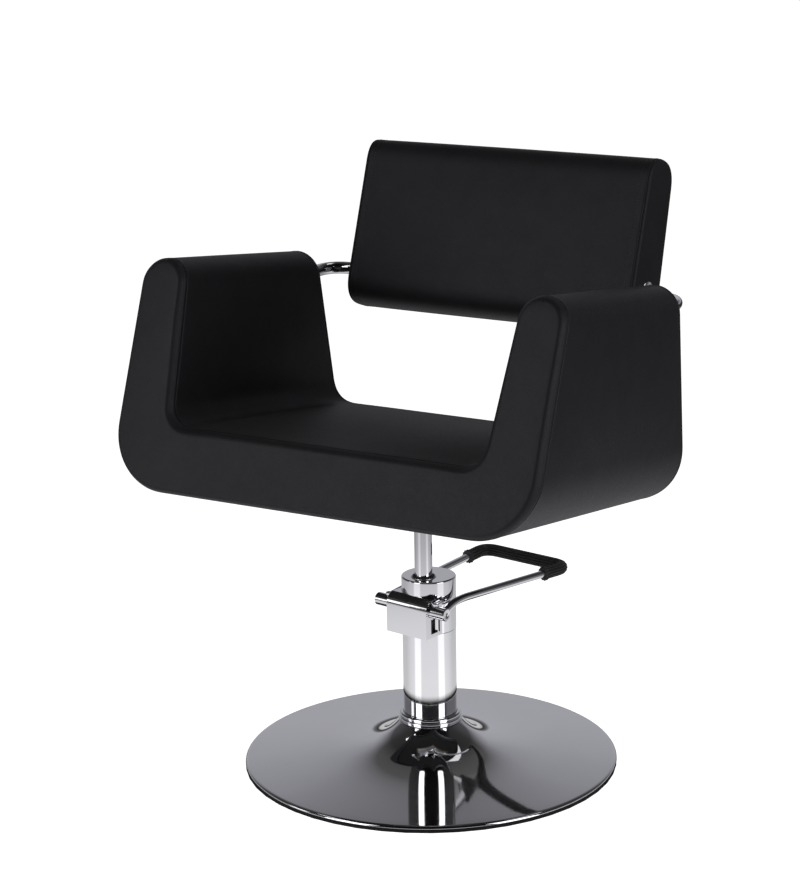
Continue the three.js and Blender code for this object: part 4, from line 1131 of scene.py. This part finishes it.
FLOOR = bpy.data.materials.new("floor")
FLOOR.use_nodes = True
tree = FLOOR.node_tree
floor_base = tree.nodes["Principled BSDF"]
floor_base.inputs["Base Color"].default_value = (0.8, 0.8, 0.8, 1)
floor_base.inputs["Roughness"].default_value = 0.9
floor_base.inputs["Specular IOR Level"].default_value = 0.0
floor_base.inputs["Emission Color"].default_value = (1, 1, 1, 1)
floor_base.inputs["Emission Strength"].default_value = 0.99
spot = tree.nodes.new("ShaderNodeNewGeometry").outputs["Position"]
reach = tree.nodes.new("ShaderNodeVectorMath")
reach.operation = "LENGTH"
tree.links.new(spot, reach.inputs[0])
# Floor as seen in reflections, with painted light and shade: a painted dark shadow ring just outside the
# disc's rim, then painted floor light that fades with distance from the column.
near = ramp(tree, math_node(tree, "DIVIDE", reach.outputs["Value"], FLOOR_GLOW), [
    (0.0915, grey(0.02)), (0.0955, (1.12, 1.12, 1.14)), (0.12, (1.12, 1.12, 1.14)),
    (0.2, (1.0, 1.0, 1.03)), (0.32, (0.62, 0.62, 0.64)),
    (0.5, (0.3, 0.3, 0.31)), (0.75, grey(0.1)), (1.0, grey(0.04)),
])
# Painted brighter bands on the floor where the softboxes light it.
around = degrees_ramp(tree, turn_round(tree, spot), [
    (0, 0.86), (33, 0.86), (39, 1.25), (61, 1.25), (67, 0.86), (85, 0.8), (110, 0.64), (180, 0.55),
])
# Emission that paints the floor's light and shadow for reflected and bounced rays.
painted_floor_light = tree.nodes.new("ShaderNodeEmission")
tree.links.new(near.outputs["Color"], painted_floor_light.inputs["Color"])
tree.links.new(around, painted_floor_light.inputs["Strength"])
# Camera rays see the evenly pale floor. All other rays see the painted floor light and shadow.
seen = tree.nodes.new("ShaderNodeLightPath").outputs["Is Camera Ray"]
mixed = tree.nodes.new("ShaderNodeMixShader")
tree.links.new(seen, mixed.inputs["Fac"])
tree.links.new(painted_floor_light.outputs["Emission"], mixed.inputs[1])
tree.links.new(floor_base.outputs["BSDF"], mixed.inputs[2])
tree.links.new(mixed.outputs["Shader"], tree.nodes["Material Output"].inputs["Surface"])
FLOOR_HALF = 60000
floor_corners = [(x * FLOOR_HALF, y * FLOOR_HALF, 0) for x, y in ((-1, -1), (1, -1), (1, 1), (-1, 1))]
make("floor", floor_corners, [(0, 1, 2, 3)], FLOOR, False)

world = bpy.data.worlds.new("studio")
bpy.context.scene.world = world
bpy.context.scene.view_settings.view_transform = "Standard"
world.use_nodes = True
tree = world.node_tree
ray = tree.nodes.new("ShaderNodeTexCoord").outputs["Generated"]
split = tree.nodes.new("ShaderNodeSeparateXYZ")
tree.links.new(ray, split.inputs[0])
behind = ramp(tree, split.outputs["Z"], [
    (0.0, grey(0.05)), (0.05, grey(0.15)), (0.095, (0.46, 0.46, 0.50)), (0.28, (0.455, 0.455, 0.49)),
    (0.36, (0.42, 0.42, 0.455)),
    (0.46, (0.33, 0.33, 0.36)), (0.6, grey(0.10)), (1.0, grey(0.03)),
]).outputs["Color"]
low_band = ramp(tree, split.outputs["Z"], [
    (0.0, (0.26, 0.26, 0.28)), (0.16, (0.26, 0.26, 0.28)), (0.26, grey(0.05)), (1.0, grey(0.02)),
]).outputs["Color"]
share = degrees_ramp(tree, turn_round(tree, ray), [(0, 0.0), (135, 0.1), (160, 1.0)])
beside = degrees_ramp(tree, turn_round(tree, ray), [(0, 0.12), (62, 0.12), (80, 1.0), (180, 1.0)])
backdrop = tree.nodes.new("ShaderNodeMixShader")
tree.links.new(share, backdrop.inputs["Fac"])
for spot, colour in ((1, low_band), (2, behind)):
    glow = tree.nodes.new("ShaderNodeBackground")
    tree.links.new(colour, glow.inputs["Color"])
    if spot == 1:
        tree.links.new(beside, glow.inputs["Strength"])
    tree.links.new(glow.outputs["Background"], backdrop.inputs[spot])
white = tree.nodes.new("ShaderNodeBackground")
white.inputs["Color"].default_value = (1, 1, 1, 1)
white.inputs["Strength"].default_value = 1.05
mixed = tree.nodes.new("ShaderNodeMixShader")
tree.links.new(tree.nodes.new("ShaderNodeLightPath").outputs["Is Camera Ray"], mixed.inputs["Fac"])
tree.links.new(backdrop.outputs["Shader"], mixed.inputs[1])
tree.links.new(white.outputs["Background"], mixed.inputs[2])
tree.links.new(mixed.outputs["Shader"], tree.nodes["World Output"].inputs["Surface"])


def area_light(name, place, target, width, height, power):
    data = bpy.data.lights.new(name, "AREA")
    data.shape = "RECTANGLE"
    data.size, data.size_y, data.energy = width, height, power
    data.color = (0.97, 0.975, 1.0)
    lamp = bpy.data.objects.new(name, data)
    bpy.context.scene.collection.objects.link(lamp)
    lamp.location = place
    lamp.rotation_euler = (Vector(target) - Vector(place)).to_track_quat("-Z", "Y").to_euler()
    lamp.visible_camera = False


LIGHT_REACH = 3.0
for side, name in ((-1, "softbox_left"), (1, "softbox_right")):
    angle = AZIMUTH + math.radians(side * BOX_TURN)
    place = (LIGHT_REACH * math.sin(angle), -LIGHT_REACH * math.cos(angle), 1.5)
    area_light(name, place, (0, 0, 1.2), 1.45, 2.8, 34)
area_light("top", (0.5, 1.4, 3.2), (0, 0, 0.6), 2.4, 0.9, 6)
for name, turn, reach, height, target, size, power in (
    ("low_panel", -82, 2.2, 0.62, 0.3, (0.5, 0.7), 1.8),
    ("bar_strip", -80, 1.7, 2.3, 0.7, (1.1, 0.35), 2.2),
):
    angle = AZIMUTH + math.radians(turn)
    place = (reach * math.sin(angle), -reach * math.cos(angle), height)
    area_light(name, place, (0, 0, target), *size, power)

# ---------- camera ----------
def camera():
    data = bpy.data.cameras.new("camera")
    data.sensor_width = 36
    data.lens = FOCAL / IMAGE_HEIGHT * 36
    data.clip_end = 300
    eye = Vector((math.sin(AZIMUTH) * DISTANCE, -math.cos(AZIMUTH) * DISTANCE, EYE)) / 1000
    ahead = Vector((-math.sin(YAW) * math.cos(PITCH), math.cos(YAW) * math.cos(PITCH), -math.sin(PITCH)))
    right = Vector((math.cos(YAW), math.sin(YAW), 0))
    up = right.cross(ahead)
    right, up = math.cos(ROLL) * right + math.sin(ROLL) * up, math.cos(ROLL) * up - math.sin(ROLL) * right
    turn = Matrix((right, up, -ahead)).transposed()
    made = bpy.data.objects.new("camera", data)
    bpy.context.scene.collection.objects.link(made)
    made.matrix_world = Matrix.Translation(eye) @ turn.to_4x4()
    bpy.context.scene.camera = made


camera()
